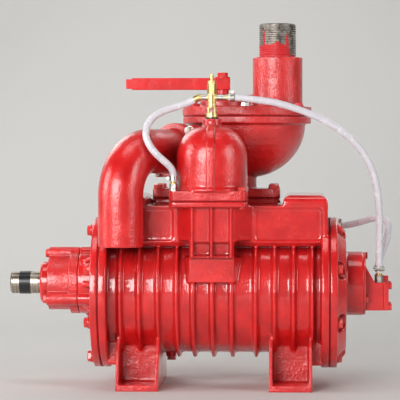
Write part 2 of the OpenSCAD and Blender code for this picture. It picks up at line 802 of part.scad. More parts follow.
scallop_r = 16;
scallop_floor = 1;
ring_low_r = end_flange_r - 5;
ring_high_r = end_flange_r - 24;

module oil_end_cover() color(red) difference() {
    union() {
        xcyl(end_flange_r, cover_in, cover_out, 0, bore_z);
        translate([cover_out, 0, bore_z]) rotate([0, 90, 0])
            cylinder(r1 = ring_low_r, r2 = ring_high_r, h = boss_h);
        xcyl(housing_r, cover_in, housing_face);
    }
    xcyl(bearing_bore_r + 4 * loose, cover_in - cut, housing_face + cut);
    xcyl(bearing_r, boss_face + bearing_set, housing_face + cut);
    at_end_bolts() {
        xcyl(m10_r + bolt_clear, cover_in - cut, boss_face + cut, 0, 0);
        xcyl(scallop_r, cover_out + scallop_floor, boss_face + cut, 0, 0);
    }
    round_x(3, end_plate_pcr, shaft_h)
        xcyl(m6_r + bolt_clear, housing_face - end_plate_bolt_l, housing_face + cut, 0, 0);
}

module oil_end_bolts() color(red) at_end_bolts()
    translate([cover_out + scallop_floor, 0, 0]) rotate([0, 90, 0])
        hex_bolt(m10_r, scallop_floor + cover_t + end_gasket_t + end_bolt_depth - cut, m10_af, m10_head);

// Bearings, one in the drive cap and one in the oil end housing
module at_bearings() {
    mirror([1, 0, 0]) translate([drive_bearing_x, 0, shaft_h]) rotate([0, 90, 0]) children();
    translate([oil_bearing_x, 0, shaft_h]) rotate([0, 90, 0]) children();
}

module bearing_outer_rings() color(steel) at_bearings() difference() {
    cylinder(r = bearing_r - run_clear, h = bearing_w);
    translate([0, 0, -cut]) cylinder(r = race_out_r, h = bearing_w + 2 * cut);
}

module bearing_inner_rings() color(steel) at_bearings() difference() {
    cylinder(r = race_in_r, h = bearing_w);
    translate([0, 0, -cut]) cylinder(r = bearing_bore_r + run_clear, h = bearing_w + 2 * cut);
}

module bearing_balls() color(steel) at_bearings() for (i = [0:bearing_balls_each - 1])
    rotate([0, 0, i * 360 / bearing_balls_each])
        translate([ball_row_r, 0, bearing_w / 2]) sphere(r = bearing_ball_r);

end_plate_pcr = housing_r - 7;
end_plate_bolt_l = 12;

module bearing_end_plate() color(red) difference() {
    xcyl(housing_r - cut, housing_face, pump_face);
    xcyl(spindle_pin_r + 2 * loose, housing_face - cut, pump_face + cut);
    round_x(3, end_plate_pcr, shaft_h) xcyl(m6_r + bolt_clear, housing_face - cut, pump_face + cut, 0, 0);
    at_pump_bolts() xcyl(m6_r + bolt_clear, housing_face - cut, pump_face + cut, 0, 0);
}

// Oil pump
pump_bolt_y = pump_half_w - 6;
pump_bolt_low = pump_foot_z + 6;
pump_bolt_high = pump_top_z - 6;
neck_h = 29;
neck_l = 16;
pump_cover_rise = 11;

module at_pump_bolts() {
    for (y = [-1, 1], z = [pump_bolt_low, pump_bolt_high]) translate([0, y * pump_bolt_y, z]) children();
}

module at_fittings() {
    for (s = [-1, 1]) translate([fitting_x, s * fitting_y, pump_top_z]) children();
}

module oil_pump_body() color(red) difference() {
    rotate([90, 0, 0]) translate([0, 0, -pump_half_w]) linear_extrude(2 * pump_half_w) polygon([
        [pump_face, pump_foot_z], [pump_end, pump_foot_z], [pump_end, pump_top_z],
        [pump_face + neck_l, pump_top_z], [pump_face, pump_top_z + neck_h]
    ]);
    for (z = [shaft_h, shaft_h - gear_drop])
        xcyl(gear_tip_r + loose, pump_face - cut, pump_face + gear_w + 2 * loose, 0, z);
    xcyl(spindle_pin_r + run_clear, pump_face, pump_face + gear_w + journal_l + cut, 0, shaft_h - gear_drop);
    at_pump_bolts() xcyl(m6_r + bolt_clear, pump_face - cut, pump_end + cut, 0, 0);
    at_fittings() translate([0, 0, -fitting_depth - cut])
        cylinder(r = tail_r + bolt_clear, h = fitting_depth + 2 * cut);
}

journal_l = 10;
fitting_depth = 7;

module oil_pump_cover() color(red) difference() {
    union() {
        translate([pump_end, -pump_half_w, pump_foot_z]) cube([pump_cover_t, 2 * pump_half_w, pump_h]);
        translate([pump_end, -pump_half_w / 3, pump_top_z - cut])
            cube([pump_cover_t, pump_half_w * 2 / 3, pump_cover_rise + cut]);
    }
    at_pump_bolts() xcyl(m6_r + bolt_clear, pump_end - cut, pump_cover_face + cut, 0, 0);
}

module oil_pump_bolts() color(red) {
    at_pump_bolts() translate([pump_cover_face, 0, 0]) rotate([0, 90, 0])
        hex_bolt(m6_r, pump_cover_t + pump_l + end_plate_t, m6_af, m8_head);
    round_x(3, end_plate_pcr, shaft_h) translate([pump_face, 0, 0]) rotate([0, 90, 0])
        hex_bolt(m6_r, end_plate_t + end_plate_bolt_l - cut, m6_af, m6_head);
}

// A hose fitting: hexagon, brass ring on top, threaded foot below
module hose_fitting() {
    color(zinc) cylinder(r = fitting_af / sqrt(3), h = fitting_hex_h, $fn = 6);
    color(brass) translate([0, 0, fitting_hex_h]) cylinder(r = tail_r + 1.5, h = fitting_ring_h);
    color(zinc) translate([0, 0, -fitting_depth]) cylinder(r = tail_r, h = fitting_depth);
}

module oil_pump_fittings() at_fittings() hose_fitting();

module tank_fitting() translate([tank_out, tank_fitting_y, tank_fitting_z]) rotate([0, 90, 0]) hose_fitting();

module dome_hose_fitting() translate([dome_fitting.x, dome_fitting.y, plate_top]) hose_fitting();

// Oil pump gears
tooth_turn = 360 / gear_teeth;
function tooth(a) = [
    for (p = [[gear_root_r, -0.30], [gear_r, -0.19], [gear_tip_r, -0.09], [gear_tip_r, 0.09], [gear_r, 0.19],
        [gear_root_r, 0.30]])
        p[0] * [cos(a + p[1] * tooth_turn), sin(a + p[1] * tooth_turn)]
];

module gear_blank() {
    linear_extrude(gear_w) polygon([for (i = [0:gear_teeth - 1]) for (q = tooth(i * tooth_turn)) q]);
}

module on_gear(z) translate([pump_face + loose, 0, z]) rotate([0, 90, 0]) children();

module pump_drive_gear() color(steel) on_gear(shaft_h) difference() {
    gear_blank();
    translate([0, 0, -cut]) cylinder(r = spindle_pin_r + run_clear, h = gear_w + 2 * cut);
}

module pump_driven_gear() color(steel) on_gear(shaft_h - gear_drop) {
    rotate([0, 0, tooth_turn / 2]) gear_blank();
    cylinder(r = spindle_pin_r, h = gear_w + journal_l);
}

// Check valve dome
crown_steps = 10;
bead_h = 5;
bead_w = 2.5;

// Outline of the dome grown outwards by d, from its base to the top of its boss
function dome_outline(d) = concat(
    [[0, dome_base - cut], [dome_r + bead_w + d, dome_base - cut],
        [dome_r + bead_w + d, dome_base + bead_h / 2], [dome_r + d, dome_base + bead_h + bead_w]],
    [for (i = [0:crown_steps])
        let (a = 90 * i / crown_steps)
            [dome_boss_r + (dome_r - dome_boss_r) * cos(a) + d, dome_shoulder + dome_crown_h * sin(a) + d]],
    [[dome_boss_r + d, dome_top - d], [0, dome_top - d]]
);

// Outline of the hollow inside the dome
hollow_r = dome_r - dome_wall;
hollow_h = dome_crown_h - dome_wall;
hollow_top_r = dome_boss_r - 6;
function dome_hollow() = concat(
    [[0, plate_bottom - cut], [hollow_r, plate_bottom - cut]],
    [for (i = [0:crown_steps])
        let (a = 90 * i / crown_steps)
            [hollow_top_r + (hollow_r - hollow_top_r) * cos(a), dome_shoulder + hollow_h * sin(a)]],
    [[0, dome_shoulder + hollow_h]]
);

module front_port_gasket() color(gasket_grey) difference() {
    translate([0, 0, casing_top]) dome_lip(port_gasket_t);
    translate([dome_x, dome_y, casing_top - cut]) cylinder(r = front_port_r, h = port_gasket_t + 2 * cut);
    translate([0, 0, casing_top - cut]) at_dome_bolts()
        cylinder(r = m8_r + bolt_clear, h = port_gasket_t + 2 * cut);
}

module ball_seat() color(brass) translate([dome_x, dome_y, plate_bottom]) difference() {
    cylinder(r = hollow_r - run_clear, h = seat_h);
    translate([0, 0, -cut]) cylinder(r = seat_bore_r, h = seat_h + 2 * cut);
}

spot_face_r = m8_af / sqrt(3) + 4 * bolt_clear;

module check_valve_dome() color(red) difference() {
    union() {
        translate([0, 0, plate_bottom]) dome_lip(plate_t);
        translate([dome_x, dome_y, 0]) rotate_extrude() polygon(dome_outline(0));
        translate([dome_x, dome_y, 0]) intersection() {
            rotate_extrude() polygon(dome_outline(dome_rib_h));
            translate([-dome_rib_w / 2, -2 * dome_r, dome_base])
                cube([dome_rib_w, 2 * dome_r, dome_top - dome_base - 2]);
        }
    }
    translate([dome_x, dome_y, 0]) rotate_extrude() polygon(dome_hollow());
    translate([dome_x, dome_y, dome_shoulder]) cylinder(r = oiler_thread_r + bolt_clear, h = dome_top);
    translate([0, 0, plate_bottom - cut]) at_dome_bolts()
        cylinder(r = m8_r + bolt_clear, h = plate_t + 2 * cut);
    translate([0, 0, plate_top]) at_dome_bolts() cylinder(r = spot_face_r, h = 2 * m8_head);
    translate([dome_fitting.x, dome_fitting.y, plate_top - fitting_depth - cut])
        cylinder(r = tail_r + bolt_clear, h = fitting_depth + 2 * cut);
}

module dome_bolts() color(red) translate([0, 0, plate_top]) at_dome_bolts()
    hex_bolt(m8_r, plate_t + port_gasket_t + plate_bolt_depth - cut, m8_af, m8_head);

ball_rest = plate_bottom + seat_h + sqrt(pow(ball_r, 2) - pow(seat_bore_r, 2)) + loose;

module check_ball() color(rubber) translate([dome_x, dome_y, ball_rest]) sphere(r = ball_r);

// Sight-feed oiler on the dome
oiler_thread_r = 5;
oiler_thread_l = 9;
washer_t = 2.5;
oiler_foot_r = 10;
oiler_foot_h = 7.5;
window_h = 9;
glass_r = 5.5;
cage_r = 9;
lower_r = 7;
lower_h = 10;
cross_h = 12;
cross_r = 6.5;
cross_middle_r = 7.5;
cross_reach = cross_middle_r + 1;
bonnet_af = 14;
bonnet_h = 17;
collar_h = 5;
needle_r = 2.5;
needle_h = 15;
foot_top = oiler_z + washer_t + oiler_foot_h;
window_top = foot_top + window_h;
cross_low = tail_z - cross_h / 2;
bonnet_low = tail_z + cross_h / 2;
bonnet_top = bonnet_low + bonnet_h;

module on_oiler(z) translate([dome_x, dome_y, z]) children();

module oiler_washer() color(rubber) on_oiler(oiler_z) difference() {
    cylinder(r = oiler_foot_r + 1.5, h = washer_t);
    translate([0, 0, -cut]) cylinder(r = oiler_thread_r + bolt_clear, h = washer_t + 2 * cut);
}

module oiler_body() color(brass) difference() {
    union() {
        on_oiler(oiler_z + washer_t - oiler_thread_l) cylinder(r = oiler_thread_r, h = oiler_thread_l);
        on_oiler(oiler_z + washer_t) cylinder(r = oiler_foot_r, h = oiler_foot_h);
        on_oiler(foot_top - cut) cylinder(r = cage_r, h = window_h + 2 * cut);
        on_oiler(window_top) cylinder(r = lower_r, h = cross_low - window_top);
        on_oiler(cross_low) cylinder(r = cross_middle_r, h = cross_h);
        xcyl(cross_r, dome_x - cross_reach, dome_x + cross_reach, dome_y, tail_z);
        on_oiler(bonnet_low) cylinder(r = bonnet_af / sqrt(3), h = bonnet_h, $fn = 6);
    }
    on_oiler(foot_top) cylinder(r = glass_r + run_clear, h = window_h);
    for (a = [0, 90])
        on_oiler(foot_top + window_h / 2) rotate([0, 0, a])
            cube([glass_r * 1.5, 3 * cage_r, window_h], center = true);
    on_oiler(bonnet_low) cylinder(r = needle_r + run_clear, h = bonnet_h + cut);
}

module sight_glass() color([0.85, 0.92, 0.95, 0.5]) on_oiler(foot_top) cylinder(r = glass_r, h = window_h);

module oiler_needle() color(brass) {
    on_oiler(bonnet_low + cut) cylinder(r = needle_r, h = bonnet_h + needle_h);
    on_oiler(bonnet_top + loose) cylinder(r = lower_r, h = collar_h);
    on_oiler(bonnet_low + bonnet_h + needle_h - 6) cylinder(r = needle_r + 1.2, h = 7);
}

tail_tube_r = 5;
right_tail_l = 15.5;
left_tail_l = 9.5;
right_tail = dome_x + cross_reach + right_tail_l;
left_tail = dome_x - cross_reach - left_tail_l;
left_nut = [drip_route[0].x, drip_route[0].z];

module oiler_tails() color(zinc) {
    xcyl(tail_tube_r, dome_x + cross_reach, right_tail, dome_y, tail_z);
    xcyl(tail_tube_r, left_tail, dome_x - cross_reach, dome_y, tail_z);
}

module oiler_nuts() color(brass) {
    xcyl(tail_tube_r + 0.7, right_tail, feed_route[0].x, dome_y, tail_z);
    xcyl(tail_tube_r + 1, left_tail - 5, left_tail, dome_y, tail_z);
    translate([left_nut[0], dome_y, left_nut[1]]) rotate([0, 90 - atan(0.5), 0])
        cylinder(r = tail_tube_r + 1, h = 9.5);
}

module feed_hose() color(hose_tint) hose_tube(feed_route);

module suction_hose() color(hose_tint) hose_tube(suction_route);

module drip_hose() color(hose_tint) hose_tube(drip_route);

// A worm clamp round a hose along Z, with its screw across +X
clamp_w = 8;
clamp_t = 1;
clamp_clear = 0.2;
clamp_screw_r = 3;
clamp_screw_l = 18;
clamp_in = hose_r + clamp_clear;
clamp_set = 8;

module worm_clamp() {
    difference() {
        union() {
            cylinder(r = clamp_in + clamp_t, h = clamp_w);
            translate([clamp_in + clamp_screw_r, 0, clamp_w / 2]) rotate([90, 0, 0])
                cylinder(r = clamp_screw_r, h = clamp_screw_l, center = true);
        }
        translate([0, 0, -cut]) cylinder(r = clamp_in, h = clamp_w + 2 * cut);
    }
}

module hose_clamps() color(zinc) {
    translate(feed_route[0] + [3, 0, 0]) rotate([0, 90, 0]) rotate([0, 0, 180]) worm_clamp();
    translate(suction_route[0] + [clamp_set / 2, 0, 0]) rotate([0, 90, 0]) rotate([0, 0, 180]) worm_clamp();
    for (s = [-1, 1])
        translate([fitting_x, s * fitting_y, pump_top_z + fitting_top + clamp_set / 2])
            rotate([0, 0, s * 90]) worm_clamp();
    translate([dome_fitting.x, dome_fitting.y, plate_top + fitting_top + 2]) rotate([0, 0, 180]) worm_clamp();
}

// Changeover valve
bowl_steps = 12;
neck_r = 48;
neck_x = spindle_x + 12;
port_neck_r = elbow_r + 1;
port_neck_l = 100;
elbow_bore_r = elbow_r - elbow_wall;

function bowl_outline(r, h) = concat(
    [for (i = [0:bowl_steps])
        let (a = 90 * i / bowl_steps)
            [r * sin(a), flange_z - h * cos(a)]],
    [[r, flange_z + cut], [0, flange_z + cut]]
);

// Stands a shape's Z axis along the elbow's run, at distance t from the outlet's axis
module on_run(t) {
    translate([elbow_x, elbow_y, elbow_z]) rotate([0, 0, elbow_turn])
        translate([t, 0, 0]) rotate([0, 90, 0]) children();
}

module at_studs() {
    for (s = [-1, 1]) rotate([0, 0, stud_turn]) translate([0, s * stud_pitch, 0]) children();
}

// The flange's oval outline with its two stud ears
module oval_flange(t) {
    difference() {
        union() {
            cylinder(r = elbow_flange_r, h = t);
            at_studs() cylinder(r = stud_ear_r, h = t);
        }
        translate([0, 0, -cut]) at_studs() cylinder(r = m8_r + bolt_clear, h = t + 2 * cut);
    }
}

module rear_port_gasket() color(gasket_grey) difference() {
    translate([0, 0, casing_top]) base_lip(port_gasket_t);
    translate([spindle_x, valve_y, casing_top - cut]) cylinder(r = rear_port_r, h = port_gasket_t + 2 * cut);
    translate([0, 0, casing_top - cut]) at_base_bolts()
        cylinder(r = m10_r + bolt_clear, h = port_gasket_t + 2 * cut);
}

lid_bolts_n = 6;
lid_bolt_pcr = valve_flange_r - 7;
lid_bolt_l = 9;

// Bolt places on the lid, the first at the front
module at_lid_bolts() {
    for (i = [0:lid_bolts_n - 1])
        translate([valve_x, valve_y, 0]) rotate([0, 0, i * 360 / lid_bolts_n - 90])
            translate([lid_bolt_pcr, 0, 0]) children();
}

module valve_body() color(red) difference() {
    union() {
        translate([0, 0, plate_bottom]) base_lip(plate_t);
        translate([neck_x, valve_y, plate_top - cut]) cylinder(r = neck_r, h = valve_rise / 2);
        translate([valve_x, valve_y, 0]) rotate_extrude() polygon(bowl_outline(bowl_r, bowl_h));
        translate([valve_x, valve_y, flange_z]) cylinder(r = valve_flange_r, h = valve_flange_t);
        on_run(elbow_run + elbow_gasket_t) oval_flange(elbow_flange_t);
        on_run(elbow_run + elbow_gasket_t) cylinder(r = port_neck_r, h = port_neck_l);
    }
    translate([valve_x, valve_y, 0]) rotate_extrude()
        polygon(bowl_outline(bowl_r - bowl_wall, bowl_h - bowl_wall));
    translate([valve_x, valve_y, flange_z]) cylinder(r = bowl_r - bowl_wall, h = valve_flange_t + cut);
    translate([spindle_x, valve_y, plate_bottom - cut]) cylinder(r = rear_port_r, h = valve_rise);
    on_run(elbow_run) cylinder(r = elbow_bore_r, h = port_neck_l + elbow_gasket_t + cut);
    on_run(elbow_run + elbow_gasket_t - cut) at_studs()
        cylinder(r = m8_r + bolt_clear, h = stud_reach + cut);
    translate([0, 0, plate_bottom - cut]) at_base_bolts()
        cylinder(r = m10_r + bolt_clear, h = plate_t + 2 * cut);
    translate([0, 0, body_top - lid_bolt_l]) at_lid_bolts()
        cylinder(r = m8_r + bolt_clear, h = lid_bolt_l + cut);
}

module valve_base_bolts() color(red) translate([0, 0, plate_top]) at_base_bolts()
    hex_bolt(m10_r, plate_t + port_gasket_t + plate_bolt_depth - cut, m10_af, m10_head);

module lid_gasket() color(gasket_grey) difference() {
    translate([valve_x, valve_y, body_top]) cylinder(r = valve_flange_r, h = lid_gasket_t);
    translate([valve_x, valve_y, body_top - cut])
        cylinder(r = bowl_r - bowl_wall, h = lid_gasket_t + 2 * cut);
    translate([0, 0, body_top - cut]) at_lid_bolts()
        cylinder(r = m8_r + bolt_clear, h = lid_gasket_t + 2 * cut);
}

lid_web_w = 24;

module valve_lid() color(red) difference() {
    union() {
        translate([valve_x, valve_y, lid_bottom]) cylinder(r = lid_r, h = lid_t);
        translate([spindle_x, valve_y, lid_bottom]) cylinder(r = lid_boss_r, h = lid_t + lid_boss_h / 2);
        translate([spindle_x, valve_y, lid_bottom])
            cylinder(r = lid_boss_r / 2, h = lid_boss_top - lid_bottom);
        translate([inlet_x, valve_y, lid_bottom]) cylinder(r = inlet_r, h = inlet_top - lid_bottom);
        translate([spindle_x, valve_y - lid_web_w / 2, lid_bottom])
            cube([inlet_x - spindle_x, lid_web_w, lid_boss_top - 1 - lid_bottom]);
    }
    translate([spindle_x, valve_y, lid_bottom - cut]) cylinder(r = spindle_r + run_clear, h = lid_boss_top);
    translate([inlet_x, valve_y, lid_bottom - cut]) cylinder(r = nipple_r - nipple_wall, h = inlet_top);
    translate([inlet_x, valve_y, inlet_top - nipple_in])
        cylinder(r = nipple_root_r + run_clear, h = nipple_in + cut);
    translate([0, 0, lid_bottom - cut]) at_lid_bolts() cylinder(r = m8_r + bolt_clear, h = lid_t + 2 * cut);
}

module lid_bolts() color(zinc) translate([0, 0, lid_top]) at_lid_bolts()
    hex_bolt(m8_r, lid_t + lid_gasket_t + lid_bolt_l - cut, m8_af, m8_head);

nipple_step = 0.5;

module inlet_nipple() color(steel) translate([inlet_x, valve_y, inlet_top - nipple_in]) difference() {
    union() {
        cylinder(r = nipple_root_r, h = nipple_in + nipple_out / 2);
        translate([0, 0, nipple_in + nipple_step]) cylinder(r = nipple_r, h = nipple_out - nipple_step);
    }
    translate([0, 0, -cut]) cylinder(r = nipple_r - nipple_wall, h = nipple_in + nipple_out + 2 * cut);
}

shutter_r = 33;
shutter_t = 6;
shutter_drop = 42;
shutter_low = flange_z - shutter_drop;
shutter_top = body_top - 8;
shutter_arc = 100;
lever_hub_w = 26;

module valve_spindle() color(steel) translate([spindle_x, valve_y, 0]) {
    translate([0, 0, shutter_low]) cylinder(r = spindle_r, h = lever_z + lever_h - shutter_low);
}

module valve_shutter() color(brass) translate([spindle_x, valve_y, 0]) difference() {
    union() {
        translate([0, 0, shutter_top - shutter_t]) cylinder(r = shutter_r, h = shutter_t);
        translate([0, 0, shutter_low]) cylinder(r = spindle_r + shutter_t, h = shutter_top - shutter_low);
        rotate([0, 0, 180 - shutter_arc / 2]) translate([0, 0, shutter_low])
            rotate_extrude(angle = shutter_arc) translate([shutter_r - shutter_t - cut, 0])
                square([shutter_t, shutter_top - shutter_t / 2 - shutter_low]);
    }
    translate([0, 0, shutter_low - cut]) cylinder(r = spindle_r + run_clear, h = shutter_top);
}

// The lever's bar runs to -X from its hub block on the spindle
module change_lever() color(red) translate([spindle_x, valve_y, lever_z]) difference() {
    union() {
        translate([-lever_hub_w / 2, -lever_hub_w / 2, 0]) cube([lever_hub_w, lever_hub_w, lever_h]);
        translate([-lever_l + lever_h / 2, -lever_t / 2, 0]) cube([lever_l - lever_h / 2, lever_t, lever_h]);
        translate([-lever_l, -lever_t / 2, 2]) cube([lever_h, lever_t, lever_h - 4]);
        translate([-lever_l * 0.3, -lever_t * 0.8, 0]) cube([lever_l * 0.3, lever_t * 1.6, lever_h]);
    }
    translate([0, 0, -cut]) cylinder(r = spindle_r + run_clear, h = lever_h + 2 * cut);
}

module lever_bolt() color(red) translate([spindle_x, valve_y, lever_z + lever_h]) {
    cylinder(r = spindle_r + 2, h = 2);
    translate([0, 0, 2]) cylinder(r = m10_af / sqrt(3), h = m10_head + 1, $fn = 6);
}

// Exhaust elbow
stud_reach = elbow_flange_t - 1;
nut_h = 7;

// The elbow's tube with its bend's corner at the middle: a leg down, a bend and a run along X
module elbow_tube(r, over) {
    leg = elbow_z - elbow_mouth_z - elbow_bend_r + over;
    translate([0, 0, -elbow_bend_r - leg]) cylinder(r = r, h = leg);
    translate([elbow_bend_r, 0, -elbow_bend_r]) rotate([90, 0, 0]) rotate([0, 0, 90])
        rotate_extrude(angle = 90) translate([elbow_bend_r, 0]) circle(r = r);
    translate([elbow_bend_r, 0, 0]) rotate([0, 90, 0]) cylinder(r = r, h = elbow_run - elbow_bend_r + over);
}

module elbow_gasket() color(gasket_grey) on_run(elbow_run) difference() {
    oval_flange(elbow_gasket_t);
    translate([0, 0, -cut]) cylinder(r = elbow_bore_r, h = elbow_gasket_t + 2 * cut);
}

module exhaust_elbow() color(red) translate([elbow_x, elbow_y, elbow_z]) rotate([0, 0, elbow_turn])
    difference() {
        union() {
            elbow_tube(elbow_r, 0);
            translate([elbow_run - elbow_flange_t, 0, 0]) rotate([0, 90, 0]) oval_flange(elbow_flange_t);
        }
        elbow_tube(elbow_bore_r, cut);
    }

module elbow_studs() color(zinc) on_run(elbow_run - elbow_flange_t) at_studs() {
    translate([0, 0, -nut_h - 4])
        cylinder(r = m8_r, h = nut_h + 4 + elbow_flange_t + elbow_gasket_t + stud_reach - cut);
    translate([0, 0, -nut_h]) cylinder(r = m8_af / sqrt(3), h = nut_h, $fn = 6);
}

// Rotor
shaft_chamfer = 2;
stub_step = 0.5;
key_gap = 3;

module rotor_shaft() color(steel) difference() {
    union() {
        translate([-shaft_tip, 0, shaft_h]) rotate([0, 90, 0])
            cylinder(r1 = shaft_r - shaft_chamfer, r2 = shaft_r, h = shaft_chamfer);
        xcyl(shaft_r, -shaft_tip + shaft_chamfer, -seal_face);
        xcyl(seal_r, -seal_face - stub_step, -cap_face + spigot_l);
        xcyl(bearing_bore_r, -cap_face + spigot_l, -end_x);
        xcyl(core_r, -end_x + rotor_end_gap, end_x - rotor_end_gap);
        xcyl(bearing_bore_r, -end_x - cut, -end_x + 2 * cut);
        xcyl(bearing_bore_r, end_x - 2 * cut, oil_bearing_x + bearing_w + 2);
        xcyl(spindle_pin_r, oil_bearing_x + bearing_w, pump_face + gear_w);
    }
    translate([-seal_face - key_gap - key_l, -key_w / 2, shaft_h + shaft_r - key_depth])
        cube([key_l, key_w, key_depth + cut]);
}

module rotor_drum() color(iron) difference() {
    xcyl(rotor_r, -drum_l / 2, drum_l / 2);
    xcyl(core_r + run_clear, -drum_l / 2 - cut, drum_l / 2 + cut);
    for (i = [0:vane_count - 1])
        translate([0, 0, shaft_h]) rotate([-vane_turn - i * 90, 0, 0])
            translate([-drum_l / 2 - cut, -vane_t / 2 - vane_clear, rotor_r - vane_tuck - vane_h - cut])
                cube([drum_l + 2 * cut, vane_t + 2 * vane_clear, vane_h + 4 * cut]);
}

// Vanes stand in the drum's slots, counted from the upper back one
module vane(i) color([0.25, 0.22, 0.18]) translate([0, 0, shaft_h]) rotate([-vane_turn - i * 90, 0, 0])
    translate([-vane_l / 2, -vane_t / 2, rotor_r - vane_tuck - vane_h]) cube([vane_l, vane_t, vane_h]);

rotor_casing();
drain_plug();
end_gaskets();
drive_end_cover();
drive_end_bolts();
drive_bearing_cap();
drive_cap_bolts();
seal_plate();
shaft_seal();
oil_end_cover();
oil_end_bolts();
bearing_outer_rings();
bearing_end_plate();
oil_pump_body();
oil_pump_cover();
oil_pump_bolts();
oil_pump_fittings();
tank_fitting();
front_port_gasket();
ball_seat();
check_valve_dome();
dome_bolts();
dome_hose_fitting();
oiler_washer();
oiler_body();
sight_glass();
oiler_tails();
oiler_nuts();
feed_hose();
suction_hose();
drip_hose();
hose_clamps();
rear_port_gasket();
valve_body();
valve_base_bolts();
lid_gasket();
valve_lid();
lid_bolts();
inlet_nipple();
elbow_gasket();
exhaust_elbow();
elbow_studs();
rotor_shaft();
rotor_drum();
bearing_inner_rings();
bearing_balls();
pump_drive_gear();
pump_driven_gear();
vane(0);  // vane_1
vane(1);  // vane_2
vane(2);  // vane_3
vane(3);  // vane_4
valve_spindle();
valve_shutter();
change_lever();
lever_bolt();
oiler_needle();
check_ball();
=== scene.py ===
from math import cos, pi, radians, sin

import bmesh
import bpy
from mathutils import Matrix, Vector


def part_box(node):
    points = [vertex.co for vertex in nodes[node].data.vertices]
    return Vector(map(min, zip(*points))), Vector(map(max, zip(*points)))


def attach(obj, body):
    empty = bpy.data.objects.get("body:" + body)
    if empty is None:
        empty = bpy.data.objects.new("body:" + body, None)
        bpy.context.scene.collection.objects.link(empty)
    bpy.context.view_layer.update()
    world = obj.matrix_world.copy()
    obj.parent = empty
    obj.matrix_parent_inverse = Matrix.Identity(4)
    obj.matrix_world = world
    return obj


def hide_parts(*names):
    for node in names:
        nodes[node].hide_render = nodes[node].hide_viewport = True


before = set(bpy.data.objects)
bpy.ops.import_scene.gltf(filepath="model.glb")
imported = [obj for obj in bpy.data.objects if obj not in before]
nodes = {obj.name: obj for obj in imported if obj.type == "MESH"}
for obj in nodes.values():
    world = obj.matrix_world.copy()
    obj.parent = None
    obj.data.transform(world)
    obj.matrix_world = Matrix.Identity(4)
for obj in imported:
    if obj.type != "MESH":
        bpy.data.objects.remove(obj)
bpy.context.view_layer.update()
scene = bpy.context.scene
scene.view_settings.view_transform = "Standard"


# Camera: a long lens nearly four metres away, a little above the pump and to its right, as the photograph was
# taken. Its height and aim follow from how much of the feet's tops and of the shaft's end can be seen.
camera_at = Vector((0.145, -3.700, 0.423))
camera_aim = Vector((-0.028, 0.0, 0.3195))
camera_data = bpy.data.cameras.new("camera")
camera_data.sensor_width = 36
camera_data.lens = 192.7
camera = bpy.data.objects.new("camera", camera_data)
camera.location = camera_at
camera.rotation_euler = (camera_aim - camera_at).to_track_quat("-Z", "Y").to_euler()
scene.collection.objects.link(camera)
scene.camera = camera


# Studio: a pale paper sweep that runs from the floor up a wall and is open from behind, so that the back can
# be seen too, a dim room that is paler along its horizon, and softboxes at both sides, behind and overhead.
def srgb(code):
    """Linear RGBA of an sRGB hex colour."""
    parts = [int(code[i:i + 2], 16) / 255 for i in (0, 2, 4)]
    return [c / 12.92 if c <= 0.04045 else ((c + 0.055) / 1.055) ** 2.4 for c in parts] + [1.0]


def add(tree, kind, attrs=None, inputs=None, stops=()):
    """Adds a node with its attributes, its inputs as values or as links from other nodes' outputs, and the
    places and linear colours of its colour stops."""
    node = tree.nodes.new(kind)
    for name, value in (attrs or {}).items():
        setattr(node, name, value)
    for name, value in (inputs or {}).items():
        if isinstance(value, bpy.types.NodeSocket):
            tree.links.new(value, node.inputs[name])
        else:
            node.inputs[name].default_value = value
    for position, _ in stops[2:]:
        node.color_ramp.elements.new(position)
    for index, (position, colour) in enumerate(stops):
        node.color_ramp.elements[index].position = position
        node.color_ramp.elements[index].color = colour
    return node


def new_material(name):
    """An empty material and its tree."""
    material = bpy.data.materials.new(name)
    material.use_nodes = True
    material.node_tree.nodes.clear()
    return material, material.node_tree


sweep_half, sweep_front, sweep_back = 7.0, -7.0, 1.9
sweep_curve, sweep_top, curve_steps = 0.9, 2.8, 12
curve_foot = sweep_back - sweep_curve
sweep_line = [(sweep_front, 0.0), (curve_foot, 0.0)]
for step in range(1, curve_steps + 1):
    turn = radians(90) * step / curve_steps
    sweep_line.append((curve_foot + sweep_curve * sin(turn), sweep_curve - sweep_curve * cos(turn)))
sweep_line.append((sweep_back, sweep_top))
sweep_mesh = bpy.data.meshes.new("paper_sweep")
sweep_mesh.from_pydata(
    [(side * sweep_half, y, z) for y, z in sweep_line for side in (-1, 1)], [],
    [(2 * i, 2 * i + 1, 2 * i + 3, 2 * i + 2) for i in range(len(sweep_line) - 1)],
)
sweep_mesh.shade_smooth()
sweep = bpy.data.objects.new("paper_sweep", sweep_mesh)
scene.collection.objects.link(sweep)
# Uncoated backdrop paper: matt pale grey, let through where its back is seen.
paper, tree = new_material("pale_studio_paper")
shader = add(tree, "ShaderNodeBsdfPrincipled", inputs={"Base Color": srgb("CFCECB"), "Roughness": 0.9})
open_behind = add(tree, "ShaderNodeMixShader", inputs={
    0: add(tree, "ShaderNodeNewGeometry").outputs["Backfacing"], 1: shader.outputs["BSDF"],
    2: add(tree, "ShaderNodeBsdfTransparent").outputs["BSDF"]})
add(tree, "ShaderNodeOutputMaterial", inputs={"Surface": open_behind.outputs["Shader"]})
sweep_mesh.materials.append(paper)

world = bpy.data.worlds.new("studio_air")
scene.world = world
world.use_nodes = True
world.node_tree.nodes.clear()
looking = add(world.node_tree, "ShaderNodeSeparateXYZ", inputs={
    "Vector": add(world.node_tree, "ShaderNodeTexCoord").outputs["Generated"]})
horizon = add(world.node_tree, "ShaderNodeMapRange", inputs={
    "Value": looking.outputs["Z"], "From Min": 0.06, "From Max": 0.22, "To Min": 0.26, "To Max": 0.05})
air = add(world.node_tree, "ShaderNodeBackground", inputs={
    "Color": srgb("F2F4F8"), "Strength": horizon.outputs["Result"]})
add(world.node_tree, "ShaderNodeOutputWorld", inputs={"Surface": air.outputs["Background"]})

